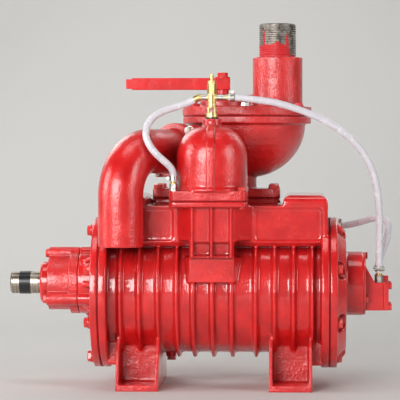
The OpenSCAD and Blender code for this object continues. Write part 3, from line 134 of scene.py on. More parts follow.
pump_middle = Vector((-0.02, 0.0, 0.30))
# Each softbox: its name, degrees to the left of the front and up, metres away, wide and high, and watts.
softboxes = [
    ("softbox_front_left", 23, 13.5, 3.2, 1.85, 1.25, 84),
    ("softbox_left", 80, 16, 2.8, 0.9, 1.5, 32),
    ("softbox_right", -61, 16, 2.8, 1.2, 1.5, 22),
    ("softbox_top", 5, 80, 2.5, 1.3, 1.0, 11),
    ("softbox_back_left", 142, 34, 1.75, 0.9, 0.9, 6),
    ("softbox_back_right", -142, 34, 1.75, 0.9, 0.9, 6),
]
for name, left, up, away, wide, high, watts in softboxes:
    light = bpy.data.lights.new(name, "AREA")
    light.shape = "RECTANGLE"
    light.size = wide
    light.size_y = high
    light.energy = watts
    lamp = bpy.data.objects.new(name, light)
    reach = cos(radians(up)) * away
    lamp.location = pump_middle + Vector((
        -sin(radians(left)) * reach, -cos(radians(left)) * reach, sin(radians(up)) * away))
    lamp.rotation_euler = (pump_middle - lamp.location).to_track_quat("-Z", "Y").to_euler()
    scene.collection.objects.link(lamp)


# Rotor casing: the pump's body, one grey-iron sand casting with its cooling fins, feet, port block and side
# tanks. It is fettled, filled and sprayed with red gloss enamel, which rounds the edges, and its red is
# darkened in corners as painted shade.
def new_piece(name, mesh, material, body, stands_for=()):
    """Links a mesh at the origin as a piece of the pump that rides on a body."""
    piece = bpy.data.objects.new(name, mesh)
    scene.collection.objects.link(piece)
    mesh.materials.clear()
    mesh.materials.append(material)
    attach(piece, body)
    if stands_for:
        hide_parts(*stands_for)
    return piece


def dress(names, material):
    """Gives CAD nodes that keep their own shape a finish."""
    for name in names:
        mesh = nodes[name].data
        mesh.materials.clear()
        mesh.materials.append(material)


weld = 1e-6


def cast_mesh(node, grain, softening, most_faces):
    """A node's solid as the foundry and the spray gun leave it: every edge and inner corner rounded."""
    work = bmesh.new()
    work.from_mesh(nodes[node].data)
    bmesh.ops.remove_doubles(work, verts=work.verts, dist=weld)
    mesh = bpy.data.meshes.new(node + "_cast")
    work.to_mesh(mesh)
    work.free()
    shape = bpy.data.objects.new(node + "_cast", mesh)
    scene.collection.objects.link(shape)
    rounding = shape.modifiers.new("rounding", "REMESH")
    rounding.mode = "VOXEL"
    rounding.voxel_size = grain
    soft = shape.modifiers.new("softening", "SMOOTH")
    soft.factor = 0.5
    soft.iterations = softening
    dense = bpy.data.meshes.new_from_object(shape.evaluated_get(bpy.context.evaluated_depsgraph_get()))
    shape.modifiers.clear()
    shape.data = dense
    count = sum(len(face.vertices) - 2 for face in dense.polygons)
    thinning = shape.modifiers.new("thinning", "DECIMATE")
    thinning.ratio = min(1.0, most_faces / count)
    cast = bpy.data.meshes.new_from_object(shape.evaluated_get(bpy.context.evaluated_depsgraph_get()))
    bpy.data.objects.remove(shape)
    cast.shade_smooth()
    return cast


def enamel(name, sand, depth, gloss, sheen, rough_below=0.0, coat=1.0):
    """Red enamel: sand is the size of the casting's grain under it and depth its height, in metres, deeper
    below the height where the casting was left as it came out of the sand. Gloss and sheen are how rough the
    red and the clear skin on it are, and coat is how strong that skin shines. Its red is darkened in corners
    and hollows as painted shade, less so on the rough feet, and paled on edges, partly as paint spread sparse
    over them and partly as a painted highlight; it is dull in broad dusty patches."""
    dust_patch, shade_reach, ripple_grains, skim_depth = 0.045, 0.04, 0.22, 0.012
    material, tree = new_material(name)
    place = add(tree, "ShaderNodeTexCoord").outputs["Object"]
    grain = add(tree, "ShaderNodeTexNoise", inputs={
        "Vector": place, "Scale": 1 / sand, "Detail": 4.0, "Roughness": 0.5})
    ripple = add(tree, "ShaderNodeTexNoise", inputs={
        "Vector": place, "Scale": ripple_grains / sand, "Detail": 2.0, "Roughness": 0.5})
    broad = add(tree, "ShaderNodeTexNoise", inputs={
        "Vector": place, "Scale": 1 / dust_patch, "Detail": 4.0, "Roughness": 0.6})
    rise = add(tree, "ShaderNodeSeparateXYZ", inputs={"Vector": place}).outputs["Z"]
    raw = add(tree, "ShaderNodeMapRange", inputs={
        "Value": rise, "From Min": rough_below, "From Max": rough_below - skim_depth,
        "To Min": 1.0, "To Max": 6.0})
    patchy = add(tree, "ShaderNodeMapRange", inputs={
        "Value": broad.outputs["Fac"], "From Min": 0.35, "From Max": 0.65, "To Min": 0.35, "To Max": 1.2})
    strength = add(tree, "ShaderNodeMath", {"operation": "MULTIPLY"}, {
        0: raw.outputs["Result"], 1: patchy.outputs["Result"]})
    height = add(tree, "ShaderNodeMath", {"operation": "MULTIPLY_ADD"}, {
        0: ripple.outputs["Fac"], 1: 0.7, 2: grain.outputs["Fac"]})
    rough_cast = add(tree, "ShaderNodeMath", {"operation": "MULTIPLY"}, {
        0: height.outputs["Value"], 1: strength.outputs["Value"]})
    relief = add(tree, "ShaderNodeBump", inputs={
        "Height": rough_cast.outputs["Value"], "Distance": depth, "Strength": 1.0})
    film = add(tree, "ShaderNodeBump", inputs={
        "Height": rough_cast.outputs["Value"], "Distance": depth * 0.6, "Strength": 1.0})
    tint = add(tree, "ShaderNodeValToRGB", inputs={"Fac": broad.outputs["Fac"]}, stops=[
        (0.32, srgb("C21416")), (0.68, srgb("E42020"))])
    edge = add(tree, "ShaderNodeNewGeometry").outputs["Pointiness"]
    # Painted shade: the red is darkened towards 6A060C in concave creases and in hollows that ambient
    # occlusion finds, less so on the rough feet.
    concave_shade = add(tree, "ShaderNodeMapRange", inputs={
        "Value": edge, "From Min": 0.49, "From Max": 0.44, "To Min": 0.0, "To Max": 0.6})
    hidden = add(tree, "ShaderNodeAmbientOcclusion", {"samples": 4}, {"Distance": shade_reach})
    occlusion_shade = add(tree, "ShaderNodeMapRange", inputs={
        "Value": hidden.outputs["AO"], "From Min": 0.75, "From Max": 0.2, "To Min": 0.0, "To Max": 0.88})
    shade_off_feet = add(tree, "ShaderNodeMath", {"operation": "DIVIDE"}, {
        0: occlusion_shade.outputs["Result"], 1: raw.outputs["Result"]})
    painted_shade = add(tree, "ShaderNodeMath", {"operation": "MAXIMUM"}, {
        0: concave_shade.outputs["Result"], 1: shade_off_feet.outputs["Value"]})
    shaded_red = add(tree, "ShaderNodeMix", {"data_type": "RGBA"}, {
        "Factor": painted_shade.outputs["Value"], 6: tint.outputs["Color"], 7: srgb("6A060C")})
    # Edges paled towards E2473F: partly paint spread sparse over them, partly a painted highlight.
    sparse_paint_and_highlight = add(tree, "ShaderNodeMapRange", inputs={
        "Value": edge, "From Min": 0.53, "From Max": 0.62, "To Min": 0.0, "To Max": 0.5})
    edges_paled = add(tree, "ShaderNodeMix", {"data_type": "RGBA"}, {
        "Factor": sparse_paint_and_highlight.outputs["Result"], 6: shaded_red.outputs[2], 7: srgb("E2473F")})
    dull = add(tree, "ShaderNodeMapRange", inputs={
        "Value": broad.outputs["Fac"], "From Min": 0.3, "From Max": 0.75,
        "To Min": gloss, "To Max": gloss + 0.14})
    shader = add(tree, "ShaderNodeBsdfPrincipled", inputs={
        "Base Color": edges_paled.outputs[2], "Roughness": dull.outputs["Result"], "Specular IOR Level": 0.25,
        "Normal": relief.outputs["Normal"], "Coat Weight": coat, "Coat IOR": 1.6, "Coat Roughness": sheen,
        "Coat Normal": film.outputs["Normal"]})
    add(tree, "ShaderNodeOutputMaterial", inputs={"Surface": shader.outputs["BSDF"]})
    return material


# Enamel over filled iron shines like glass down to the feet, which show the sand; on steel it lies flat.
red_on_iron = enamel("red_enamel_on_fettled_iron", 0.0032, 0.0004, 0.34, 0.08, rough_below=0.085)
red_on_steel = enamel("red_enamel_on_steel", 0.0045, 0.00008, 0.3, 0.12)
casing_mesh = cast_mesh("rotor_casing", 0.0019, 4, 170000)
new_piece("casing_painted", casing_mesh, red_on_iron, "pump", ("rotor_casing",))
dress(["drain_plug"], red_on_steel)

# The iron that fills the corner between each foot and the end flange beside it, cast in one with both.
flange_t, foot_out, web_sunk = 0.014, 0.166, 0.002
flange_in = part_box("rotor_casing")[1][0] - flange_t
web_half, web_low, web_high, web_round = 0.062, 0.039, 0.090, 0.005
crease = radians(35)
web_work = bmesh.new()
for side in (-1, 1):
    for corner in bmesh.ops.create_cube(web_work, size=1.0)["verts"]:
        corner.co = (
            side * (foot_out - web_sunk if corner.co.x < 0 else flange_in + web_sunk),
            2 * web_half * corner.co.y, web_low if corner.co.z < 0 else web_high)
long_edges = [e for e in web_work.edges if abs(e.verts[0].co.x - e.verts[1].co.x) > web_sunk]
bmesh.ops.bevel(web_work, geom=long_edges, offset=web_round, segments=5, profile=0.5, affect="EDGES")
bmesh.ops.recalc_face_normals(web_work, faces=web_work.faces)
web_mesh = bpy.data.meshes.new("foot_webs_painted")
web_work.to_mesh(web_mesh)
web_work.free()
web_mesh.shade_smooth()
web_mesh.set_sharp_from_angle(angle=crease)
new_piece("foot_webs_painted", web_mesh, red_on_iron, "pump")


# Gaskets: thin sheets of pressed fibre between the machined faces, cut flush with the flanges, so that only
# their edges show, as seams that the spray has half covered.
fibre_clump = 0.0018
# Pressed fibre sheet: matt and faintly clumped, stained red by the spray.
fibre_sheet, tree = new_material("pressed_fibre_gasket_sheet")
fibres = add(tree, "ShaderNodeTexNoise", inputs={
    "Vector": add(tree, "ShaderNodeTexCoord").outputs["Object"], "Scale": 1 / fibre_clump, "Detail": 6.0})
fibre_tone = add(tree, "ShaderNodeValToRGB", inputs={"Fac": fibres.outputs["Fac"]}, stops=[
    (0.35, srgb("8E1014")), (0.7, srgb("BC181C"))])
fibre_relief = add(tree, "ShaderNodeBump", inputs={"Height": fibres.outputs["Fac"], "Distance": 0.0002})
shader = add(tree, "ShaderNodeBsdfPrincipled", inputs={
    "Base Color": fibre_tone.outputs["Color"], "Roughness": 0.72, "Normal": fibre_relief.outputs["Normal"]})
add(tree, "ShaderNodeOutputMaterial", inputs={"Surface": shader.outputs["BSDF"]})
dress(["end_gaskets", "front_port_gasket", "rear_port_gasket", "lid_gasket", "elbow_gasket"], fibre_sheet)


# Rotor: a steel shaft turned on a lathe, ground at its bearings, with a drum of grey iron and four sliding
# vanes of pressed fibre laminate. Only the drive stub shows: oiled steel with faint turning rings.
def turned_metal(name, along, ring, bright, dull, shine, stain=0.5):
    """Turned metal: rings of the tool's feed across an axis, and stains where oil and hands have dulled it.
    The rings are drawn a few times coarser than real feed marks, because those are too fine to show."""
    ring_run, stain_patch = 0.06, 0.012
    material, tree = new_material(name)
    place = add(tree, "ShaderNodeTexCoord").outputs["Object"]
    stretch = [1 / ring if axis == along else 1 / ring_run for axis in "XYZ"]
    spread = add(tree, "ShaderNodeMapping", inputs={"Vector": place, "Scale": stretch})
    rings = add(tree, "ShaderNodeTexNoise", inputs={
        "Vector": spread.outputs["Vector"], "Scale": 1.0, "Detail": 3.0})
    stains = add(tree, "ShaderNodeTexNoise", inputs={
        "Vector": place, "Scale": 1 / stain_patch, "Detail": 6.0, "Roughness": 0.62})
    mixed = add(tree, "ShaderNodeMix", {"data_type": "FLOAT"}, {
        "Factor": stain, 2: rings.outputs["Fac"], 3: stains.outputs["Fac"]})
    tone = add(tree, "ShaderNodeValToRGB", inputs={"Fac": mixed.outputs[0]}, stops=[
        (0.36, srgb(dull)), (0.62, srgb(bright))])
    relief = add(tree, "ShaderNodeBump", inputs={"Height": rings.outputs["Fac"], "Distance": 0.00012})
    polish = add(tree, "ShaderNodeMapRange", inputs={
        "Value": stains.outputs["Fac"], "From Min": 0.3, "From Max": 0.7,
        "To Min": shine, "To Max": shine + 0.2})
    shader = add(tree, "ShaderNodeBsdfPrincipled", inputs={
        "Base Color": tone.outputs["Color"], "Metallic": 1.0, "Roughness": polish.outputs["Result"],
        "Normal": relief.outputs["Normal"]})
    add(tree, "ShaderNodeOutputMaterial", inputs={"Surface": shader.outputs["BSDF"]})
    return material


# Oiled steel is warm and smeared, bearing steel bright and even, and machined iron dark and dull.
oiled_steel = turned_metal("turned_oiled_steel", "X", 0.0022, "C9BFB0", "80766A", 0.24)
ground_steel = turned_metal("ground_bearing_steel", "X", 0.0012, "D2D2D0", "A5A6A6", 0.16, 0.3)
machined_iron = turned_metal("machined_grey_iron", "X", 0.0018, "86868A", "58585C", 0.42)
dress(["rotor_shaft"], oiled_steel)
dress(["bearing_outer_rings", "bearing_inner_rings", "bearing_balls"], ground_steel)
dress(["rotor_drum"], machined_iron)

ply_thickness = 0.0012
# Resin-bonded fibre laminate: brown, half matt, with its plies just showing.
laminate, tree = new_material("pressed_fibre_laminate")
plies = add(tree, "ShaderNodeTexNoise", inputs={
    "Vector": add(tree, "ShaderNodeTexCoord").outputs["Object"], "Scale": 1 / ply_thickness, "Detail": 4.0})
ply_tone = add(tree, "ShaderNodeValToRGB", inputs={"Fac": plies.outputs["Fac"]}, stops=[
    (0.3, srgb("3A2C1E")), (0.7, srgb("5C482F"))])
ply_relief = add(tree, "ShaderNodeBump", inputs={"Height": plies.outputs["Fac"], "Distance": 0.00008})
shader = add(tree, "ShaderNodeBsdfPrincipled", inputs={
    "Base Color": ply_tone.outputs["Color"], "Roughness": 0.5, "Normal": ply_relief.outputs["Normal"]})
add(tree, "ShaderNodeOutputMaterial", inputs={"Surface": shader.outputs["BSDF"]})
dress(["vane_1", "vane_2", "vane_3", "vane_4"], laminate)


# Drive end cover: a ribbed iron disc bolted to the casing's end flange by a ring of hexagon bolts, which were
# in place when the pump was sprayed, so they are red too.
def islands(node, axis):
    """For each separate solid in a node, its middle line's foot and its lowest and highest reach along an
    axis."""
    work = bmesh.new()
    work.from_mesh(nodes[node].data)
    bmesh.ops.remove_doubles(work, verts=work.verts, dist=weld)
    seen, found = set(), []
    for first in work.verts:
        if first.index in seen:
            continue
        seen.add(first.index)
        group, fresh = [], [first]
        while fresh:
            vertex = fresh.pop()
            group.append(vertex.co.copy())
            for edge in vertex.link_edges:
                other = edge.other_vert(vertex)
                if other.index not in seen:
                    seen.add(other.index)
                    fresh.append(other)
        reach = [co.dot(axis) for co in group]
        flat = [co - axis * co.dot(axis) for co in group]
        foot = Vector([(min(co[i] for co in flat) + max(co[i] for co in flat)) / 2 for i in range(3)])
        found.append((foot, min(reach), max(reach)))
    work.free()
    return found


def geometry_tree(name, sizes):
    """A geometry tree that starts from a mesh, with one named input for each size."""
    tree = bpy.data.node_groups.new(name, "GeometryNodeTree")
    tree.interface.new_socket("Geometry", in_out="INPUT", socket_type="NodeSocketGeometry")
    for label, kind in sizes:
        tree.interface.new_socket(label, in_out="INPUT", socket_type="NodeSocket" + kind)
    tree.interface.new_socket("Geometry", in_out="OUTPUT", socket_type="NodeSocketGeometry")
    return tree, add(tree, "NodeGroupInput").outputs


def end_tree(tree, geometry, material):
    """Makes a tree's instances real, gives them their material and sends them out."""
    whole = add(tree, "GeometryNodeRealizeInstances", inputs={"Geometry": geometry})
    dressed = add(tree, "GeometryNodeSetMaterial", inputs={
        "Geometry": whole.outputs["Geometry"], "Material": material})
    add(tree, "NodeGroupOutput", inputs={"Geometry": dressed.outputs["Geometry"]})


def grown(tree, start, values):
    """The plain mesh that a geometry tree makes from a start mesh, with its inputs set by name."""
    shape = bpy.data.objects.new(tree.name, start)
    modifier = shape.modifiers.new(tree.name, "NODES")
    modifier.node_group = tree
    for item in tree.interface.items_tree:
        if item.in_out == "INPUT" and item.name in values:
            modifier[item.identifier] = values[item.name]
    scene.collection.objects.link(shape)
    mesh = bpy.data.meshes.new_from_object(shape.evaluated_get(bpy.context.evaluated_depsgraph_get()))
    shape.modifiers.clear()
    bpy.data.objects.remove(shape)
    mesh.shade_smooth()
    mesh.set_sharp_from_angle(angle=crease)
    return mesh


def raised(tree, geometry, height):
    """Geometry moved up its own axis."""
    lift = add(tree, "ShaderNodeCombineXYZ", inputs={"Z": height})
    return add(tree, "GeometryNodeTransform", inputs={
        "Geometry": geometry, "Translation": lift.outputs["Vector"]}).outputs["Geometry"]


prism_share, chamfer_draw, washer_sides, shank_sides = 0.8, 0.84, 32, 20
bolt_tree, size = geometry_tree("hexagon_bolts", [
    ("Across Flats", "Float"), ("Head Height", "Float"), ("Washer Radius", "Float"),
    ("Washer Thickness", "Float"), ("Shank Radius", "Float"), ("Shank Length", "Float"),
    ("Stud Length", "Float"), ("Axis", "Vector"), ("Seed", "Int"), ("Material", "Material")])
washer = add(bolt_tree, "GeometryNodeMeshCylinder", inputs={
    "Vertices": washer_sides, "Radius": size["Washer Radius"], "Depth": size["Washer Thickness"]})
half_washer = add(bolt_tree, "ShaderNodeMath", {"operation": "MULTIPLY"}, {
    0: size["Washer Thickness"], 1: 0.5})
washer_up = raised(bolt_tree, washer.outputs["Mesh"], half_washer.outputs["Value"])
prism_h = add(bolt_tree, "ShaderNodeMath", {"operation": "MULTIPLY"}, {
    0: size["Head Height"], 1: prism_share})
corner_r = add(bolt_tree, "ShaderNodeMath", {"operation": "DIVIDE"}, {
    0: size["Across Flats"], 1: 3 ** 0.5})
prism = add(bolt_tree, "GeometryNodeMeshCylinder", inputs={
    "Vertices": 6, "Radius": corner_r.outputs["Value"], "Depth": prism_h.outputs["Value"]})
chamfer_h = add(bolt_tree, "ShaderNodeMath", {"operation": "MULTIPLY"}, {
    0: size["Head Height"], 1: 1 - prism_share})
chamfer = add(bolt_tree, "GeometryNodeExtrudeMesh", inputs={
    "Mesh": prism.outputs["Mesh"], "Selection": prism.outputs["Top"],
    "Offset Scale": chamfer_h.outputs["Value"]})
drawn_in = add(bolt_tree, "GeometryNodeScaleElements", inputs={
    "Geometry": chamfer.outputs["Mesh"], "Selection": chamfer.outputs["Top"], "Scale": chamfer_draw})
prism_low = add(bolt_tree, "ShaderNodeMath", {"operation": "MULTIPLY_ADD"}, {
    0: prism_h.outputs["Value"], 1: 0.5, 2: size["Washer Thickness"]})
head_up = raised(bolt_tree, drawn_in.outputs["Geometry"], prism_low.outputs["Value"])
shank_l = add(bolt_tree, "ShaderNodeMath", {"operation": "ADD"}, {
    0: size["Shank Length"], 1: size["Stud Length"]})
shank = add(bolt_tree, "GeometryNodeMeshCylinder", inputs={
    "Vertices": shank_sides, "Radius": size["Shank Radius"], "Depth": shank_l.outputs["Value"]})
shank_out = add(bolt_tree, "ShaderNodeMath", {"operation": "SUBTRACT"}, {
    0: size["Stud Length"], 1: size["Shank Length"]})
shank_middle = add(bolt_tree, "ShaderNodeMath", {"operation": "MULTIPLY"}, {
    0: shank_out.outputs["Value"], 1: 0.5})
shank_up = raised(bolt_tree, shank.outputs["Mesh"], shank_middle.outputs["Value"])
one_bolt = add(bolt_tree, "GeometryNodeJoinGeometry")
for part in (washer_up, head_up, shank_up):
    bolt_tree.links.new(part, one_bolt.inputs["Geometry"])
upright = add(bolt_tree, "FunctionNodeAlignRotationToVector", {"axis": "Z"}, {"Vector": size["Axis"]})
spin = add(bolt_tree, "FunctionNodeRandomValue", {"data_type": "FLOAT"}, {
    2: 0.0, 3: pi / 3, "Seed": size["Seed"]})
twist = add(bolt_tree, "FunctionNodeAxisAngleToRotation", inputs={
    "Axis": (0, 0, 1), "Angle": spin.outputs[1]})
turned = add(bolt_tree, "FunctionNodeRotateRotation", {"rotation_space": "LOCAL"}, {
    "Rotation": upright.outputs["Rotation"], "Rotate By": twist.outputs["Rotation"]})
set_bolts = add(bolt_tree, "GeometryNodeInstanceOnPoints", inputs={
    "Points": size["Geometry"], "Instance": one_bolt.outputs["Geometry"],
    "Rotation": turned.outputs["Rotation"]})
end_tree(bolt_tree, set_bolts.outputs["Instances"], size["Material"])


def bolts(name, node, axis, across, head, shank_r, material, stud=0.0):
    """Hexagon bolts or nuts with washers where a node has its bolts: axis points out of the heads, and stud
    is how far a threaded end stands out of a nut."""
    washer_wide, washer_t = across * 0.64, 0.0014
    axis = Vector(axis).normalized()
    found = islands(node, axis)
    seats = bpy.data.meshes.new(name)
    seats.from_pydata([foot + axis * (high - head - stud) for foot, low, high in found], [], [])
    length = found[0][2] - found[0][1] - head - stud
    mesh = grown(bolt_tree, seats, {
        "Across Flats": across, "Head Height": head, "Washer Radius": washer_wide,
        "Washer Thickness": washer_t, "Shank Radius": shank_r, "Shank Length": length,
        "Stud Length": head + stud if stud else 0.0, "Axis": tuple(axis), "Seed": len(name),
        "Material": material})
    return new_piece(name, mesh, material, "pump", (node,))


m10_across, m10_head, m10_r = 0.016, 0.0064, 0.005
drive_cover_mesh = cast_mesh("drive_end_cover", 0.0016, 4, 90000)
new_piece("drive_end_cover_painted", drive_cover_mesh, red_on_iron, "pump",
          ("drive_end_cover",))
bolts("drive_end_bolts_painted", "drive_end_bolts", (-1, 0, 0), m10_across, m10_head, m10_r,
      red_on_steel)


# Drive bearing cap and seal plate: the cap holds the drive-side ball bearing, with bolt lobes round it, and a
# turned plate over it carries the shaft's rubber lip seal. A black sleeve is pushed on the bare stub.
m8_across, m8_head, m8_r = 0.013, 0.0054, 0.004
# Enamel over iron as it left the sand: a coarse skin that breaks its shine into speckles.
red_on_sand = enamel("red_enamel_on_sand_cast_iron", 0.0024, 0.0016, 0.42, 0.22)
drive_cap_mesh = cast_mesh("drive_bearing_cap", 0.0011, 4, 70000)
new_piece("drive_bearing_cap_painted", drive_cap_mesh, red_on_sand, "pump",
          ("drive_bearing_cap",))
bolts("drive_cap_bolts_painted", "drive_cap_bolts", (-1, 0, 0), m8_across, m8_head, m8_r,
      red_on_steel)
seal_plate_mesh = cast_mesh("seal_plate", 0.0009, 3, 50000)
new_piece("seal_plate_painted", seal_plate_mesh, red_on_steel, "pump", ("seal_plate",))


def lathe(name, outline, foot, axis, steps=64):
    """A turned mesh: an outline of radius and height pairs swept round an axis from its foot."""
    work = bmesh.new()
    axis = Vector(axis).normalized()
    side = axis.orthogonal().normalized()
    across = axis.cross(side)
    rings = []
    for step in range(steps):
        turn = 2 * pi * step / steps
        out = side * cos(turn) + across * sin(turn)
        rings.append([work.verts.new(Vector(foot) + out * r + axis * h) for r, h in outline])
    for here, there in zip(rings, rings[1:] + rings[:1]):
        for i in range(len(outline) - 1):
            work.faces.new((here[i], there[i], there[i + 1], here[i + 1]))
    bmesh.ops.remove_doubles(work, verts=work.verts, dist=weld)
    bmesh.ops.dissolve_degenerate(work, edges=work.edges, dist=1e-7)
    bmesh.ops.recalc_face_normals(work, faces=work.faces)
    mesh = bpy.data.meshes.new(name)
    work.to_mesh(mesh)
    work.free()
    mesh.shade_smooth()
    mesh.set_sharp_from_angle(angle=crease)
    return mesh


skin_grain = 0.0015
# Moulded nitrile rubber: near black, with a soft shine on a faintly grained skin.
black_rubber, tree = new_material("moulded_black_rubber")
skin = add(tree, "ShaderNodeTexNoise", inputs={
    "Vector": add(tree, "ShaderNodeTexCoord").outputs["Object"], "Scale": 1 / skin_grain, "Detail": 4.0})
skin_tone = add(tree, "ShaderNodeValToRGB", inputs={"Fac": skin.outputs["Fac"]}, stops=[
    (0.3, srgb("17171A")), (0.7, srgb("26262A"))])
skin_relief = add(tree, "ShaderNodeBump", inputs={"Height": skin.outputs["Fac"], "Distance": 0.00006})
shader = add(tree, "ShaderNodeBsdfPrincipled", inputs={
    "Base Color": skin_tone.outputs["Color"], "Roughness": 0.3, "Normal": skin_relief.outputs["Normal"]})
add(tree, "ShaderNodeOutputMaterial", inputs={"Surface": shader.outputs["BSDF"]})
dress(["shaft_seal"], black_rubber)
stub_r, stub_bite = 0.019, 0.0001
stub_z = (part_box("rotor_shaft")[0][2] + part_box("rotor_shaft")[1][2]) / 2
sleeve_end, sleeve_l, sleeve_t, sleeve_round = -0.341, 0.0195, 0.0008, 0.0003
sleeve_in, sleeve_out = stub_r - stub_bite, stub_r + sleeve_t
sleeve_outline = [
    (sleeve_in, 0), (sleeve_out - sleeve_round, 0), (sleeve_out, sleeve_round),
    (sleeve_out, sleeve_l - sleeve_round), (sleeve_out - sleeve_round, sleeve_l),
    (sleeve_in, sleeve_l), (sleeve_in, 0)]
sleeve_mesh = lathe("stub_sleeve", sleeve_outline, (sleeve_end, 0, stub_z), (1, 0, 0))
new_piece("stub_sleeve", sleeve_mesh, black_rubber, "rotor")


# Oil end cover: the cover of the far end with the second bearing's housing, cast iron scalloped round its
# bolts. A plate closes the housing and carries the gear oil pump.
oil_cover_mesh = cast_mesh("oil_end_cover", 0.0016, 4, 110000)
new_piece("oil_end_cover_painted", oil_cover_mesh, red_on_iron, "pump", ("oil_end_cover",))
bolts("oil_end_bolts_painted", "oil_end_bolts", (1, 0, 0), m10_across, m10_head, m10_r,
      red_on_steel)
dress(["bearing_end_plate"], red_on_steel)


# Gear oil pump: a small iron body and cover on the oil end, driven by the shaft, with two steel gears inside
# and two zinc-plated hose fittings screwed into its top.
no_ring = 10.0


def plated(name, brass_above=no_ring):
    """Zinc plate: bright grey with a faint straw cast from the passivation, duller where handled. What stands
    above a height is a brass ring that is crimped on."""
    hand_patch, plating_grit = 0.006, 0.0011
    material, tree = new_material(name)
    place = add(tree, "ShaderNodeTexCoord").outputs["Object"]
    cloud = add(tree, "ShaderNodeTexNoise", inputs={"Vector": place, "Scale": 1 / hand_patch, "Detail": 5.0})
    grit = add(tree, "ShaderNodeTexNoise", inputs={"Vector": place, "Scale": 1 / plating_grit, "Detail": 2.0})
    tone = add(tree, "ShaderNodeValToRGB", inputs={"Fac": cloud.outputs["Fac"]}, stops=[
        (0.35, srgb("B4B7BA")), (0.65, srgb("E3E5E6"))])
    straw = add(tree, "ShaderNodeMix", {"data_type": "RGBA"}, {
        "Factor": grit.outputs["Fac"], 6: tone.outputs["Color"], 7: srgb("D2CDBB")})
    rise = add(tree, "ShaderNodeSeparateXYZ", inputs={"Vector": place}).outputs["Z"]
    on_ring = add(tree, "ShaderNodeMath", {"operation": "GREATER_THAN"}, {0: rise, 1: brass_above})
    ringed = add(tree, "ShaderNodeMix", {"data_type": "RGBA"}, {
        "Factor": on_ring.outputs["Value"], 6: straw.outputs[2], 7: srgb("DDB45C")})
    relief = add(tree, "ShaderNodeBump", inputs={"Height": grit.outputs["Fac"], "Distance": 0.00006})
    polish = add(tree, "ShaderNodeMapRange", inputs={
        "Value": cloud.outputs["Fac"], "From Min": 0.3, "From Max": 0.7, "To Min": 0.22, "To Max": 0.4})
    shader = add(tree, "ShaderNodeBsdfPrincipled", inputs={
        "Base Color": ringed.outputs[2], "Metallic": 1.0, "Roughness": polish.outputs["Result"],
        "Normal": relief.outputs["Normal"]})
    add(tree, "ShaderNodeOutputMaterial", inputs={"Surface": shader.outputs["BSDF"]})
    return material


ring_h = 0.0036
pump_body_mesh = cast_mesh("oil_pump_body", 0.0008, 3, 40000)
pump_cover_mesh = cast_mesh("oil_pump_cover", 0.0007, 3, 30000)
new_piece("oil_pump_body_painted", pump_body_mesh, red_on_iron, "pump", ("oil_pump_body",))
new_piece("oil_pump_cover_painted", pump_cover_mesh, red_on_iron, "pump", ("oil_pump_cover",))
dress(["oil_pump_bolts"], red_on_steel)
dress(["pump_drive_gear", "pump_driven_gear"], ground_steel)
pump_ring_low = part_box("oil_pump_fittings")[1][2] - ring_h
dress(["oil_pump_fittings"], plated("oil_pump_fittings_plate_and_brass", pump_ring_low))


# Check-valve dome: a thin iron bell over the front port with a loose rubber ball and its brass seat inside.
# Three red bolts hold its square foot, and a raised rib runs up its front to the boss that carries the oiler.
dome_mesh = cast_mesh("check_valve_dome", 0.0011, 4, 120000)
# Enamel on a thin shell: glossy, with a gentle orange peel.
red_on_shell = enamel("red_enamel_on_thin_shells", 0.0028, 0.0010, 0.3, 0.14)
new_piece("check_valve_dome_painted", dome_mesh, red_on_shell, "pump", ("check_valve_dome",))
bolts("dome_bolts_painted", "dome_bolts", (0, 0, 1), m8_across, m8_head, m8_r, red_on_steel)
# Turned brass: pale yellow, with fine rings and a handled, slightly blurred shine.
brass = turned_metal("turned_brass", "Z", 0.0012, "F2DEA4", "CDA95E", 0.3, 0.45)
dress(["ball_seat"], brass)
dress(["check_ball"], black_rubber)
dome_ring_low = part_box("dome_hose_fitting")[1][2] - ring_h
dress(["dome_hose_fitting"], plated("dome_hose_fitting_plate_and_brass", dome_ring_low))


# Sight-feed oiler: turned brass with a caged glass that shows the oil drip, a needle screw on top that sets
# it, and a plated tail with a brass nut to each side for the hoses.
smear_patch = 0.004
# Drawn glass: clear, and hazed in smears by the oil's mist.
clear_glass, tree = new_material("drawn_sight_glass")
smear = add(tree, "ShaderNodeTexNoise", inputs={
    "Vector": add(tree, "ShaderNodeTexCoord").outputs["Object"], "Scale": 1 / smear_patch, "Detail": 3.0})
haze = add(tree, "ShaderNodeMapRange", inputs={"Value": smear.outputs["Fac"], "To Min": 0.03, "To Max": 0.16})
shader = add(tree, "ShaderNodeBsdfPrincipled", inputs={
    "Base Color": srgb("EAF2F4"), "Roughness": haze.outputs["Result"], "IOR": 1.5,
    "Transmission Weight": 0.92})
add(tree, "ShaderNodeOutputMaterial", inputs={"Surface": shader.outputs["BSDF"]})
zinc = plated("bright_zinc_plate")
dress(["oiler_body", "oiler_nuts", "oiler_needle"], brass)
dress(["oiler_tails"], zinc)
dress(["oiler_washer"], black_rubber)
dress(["sight_glass"], clear_glass)


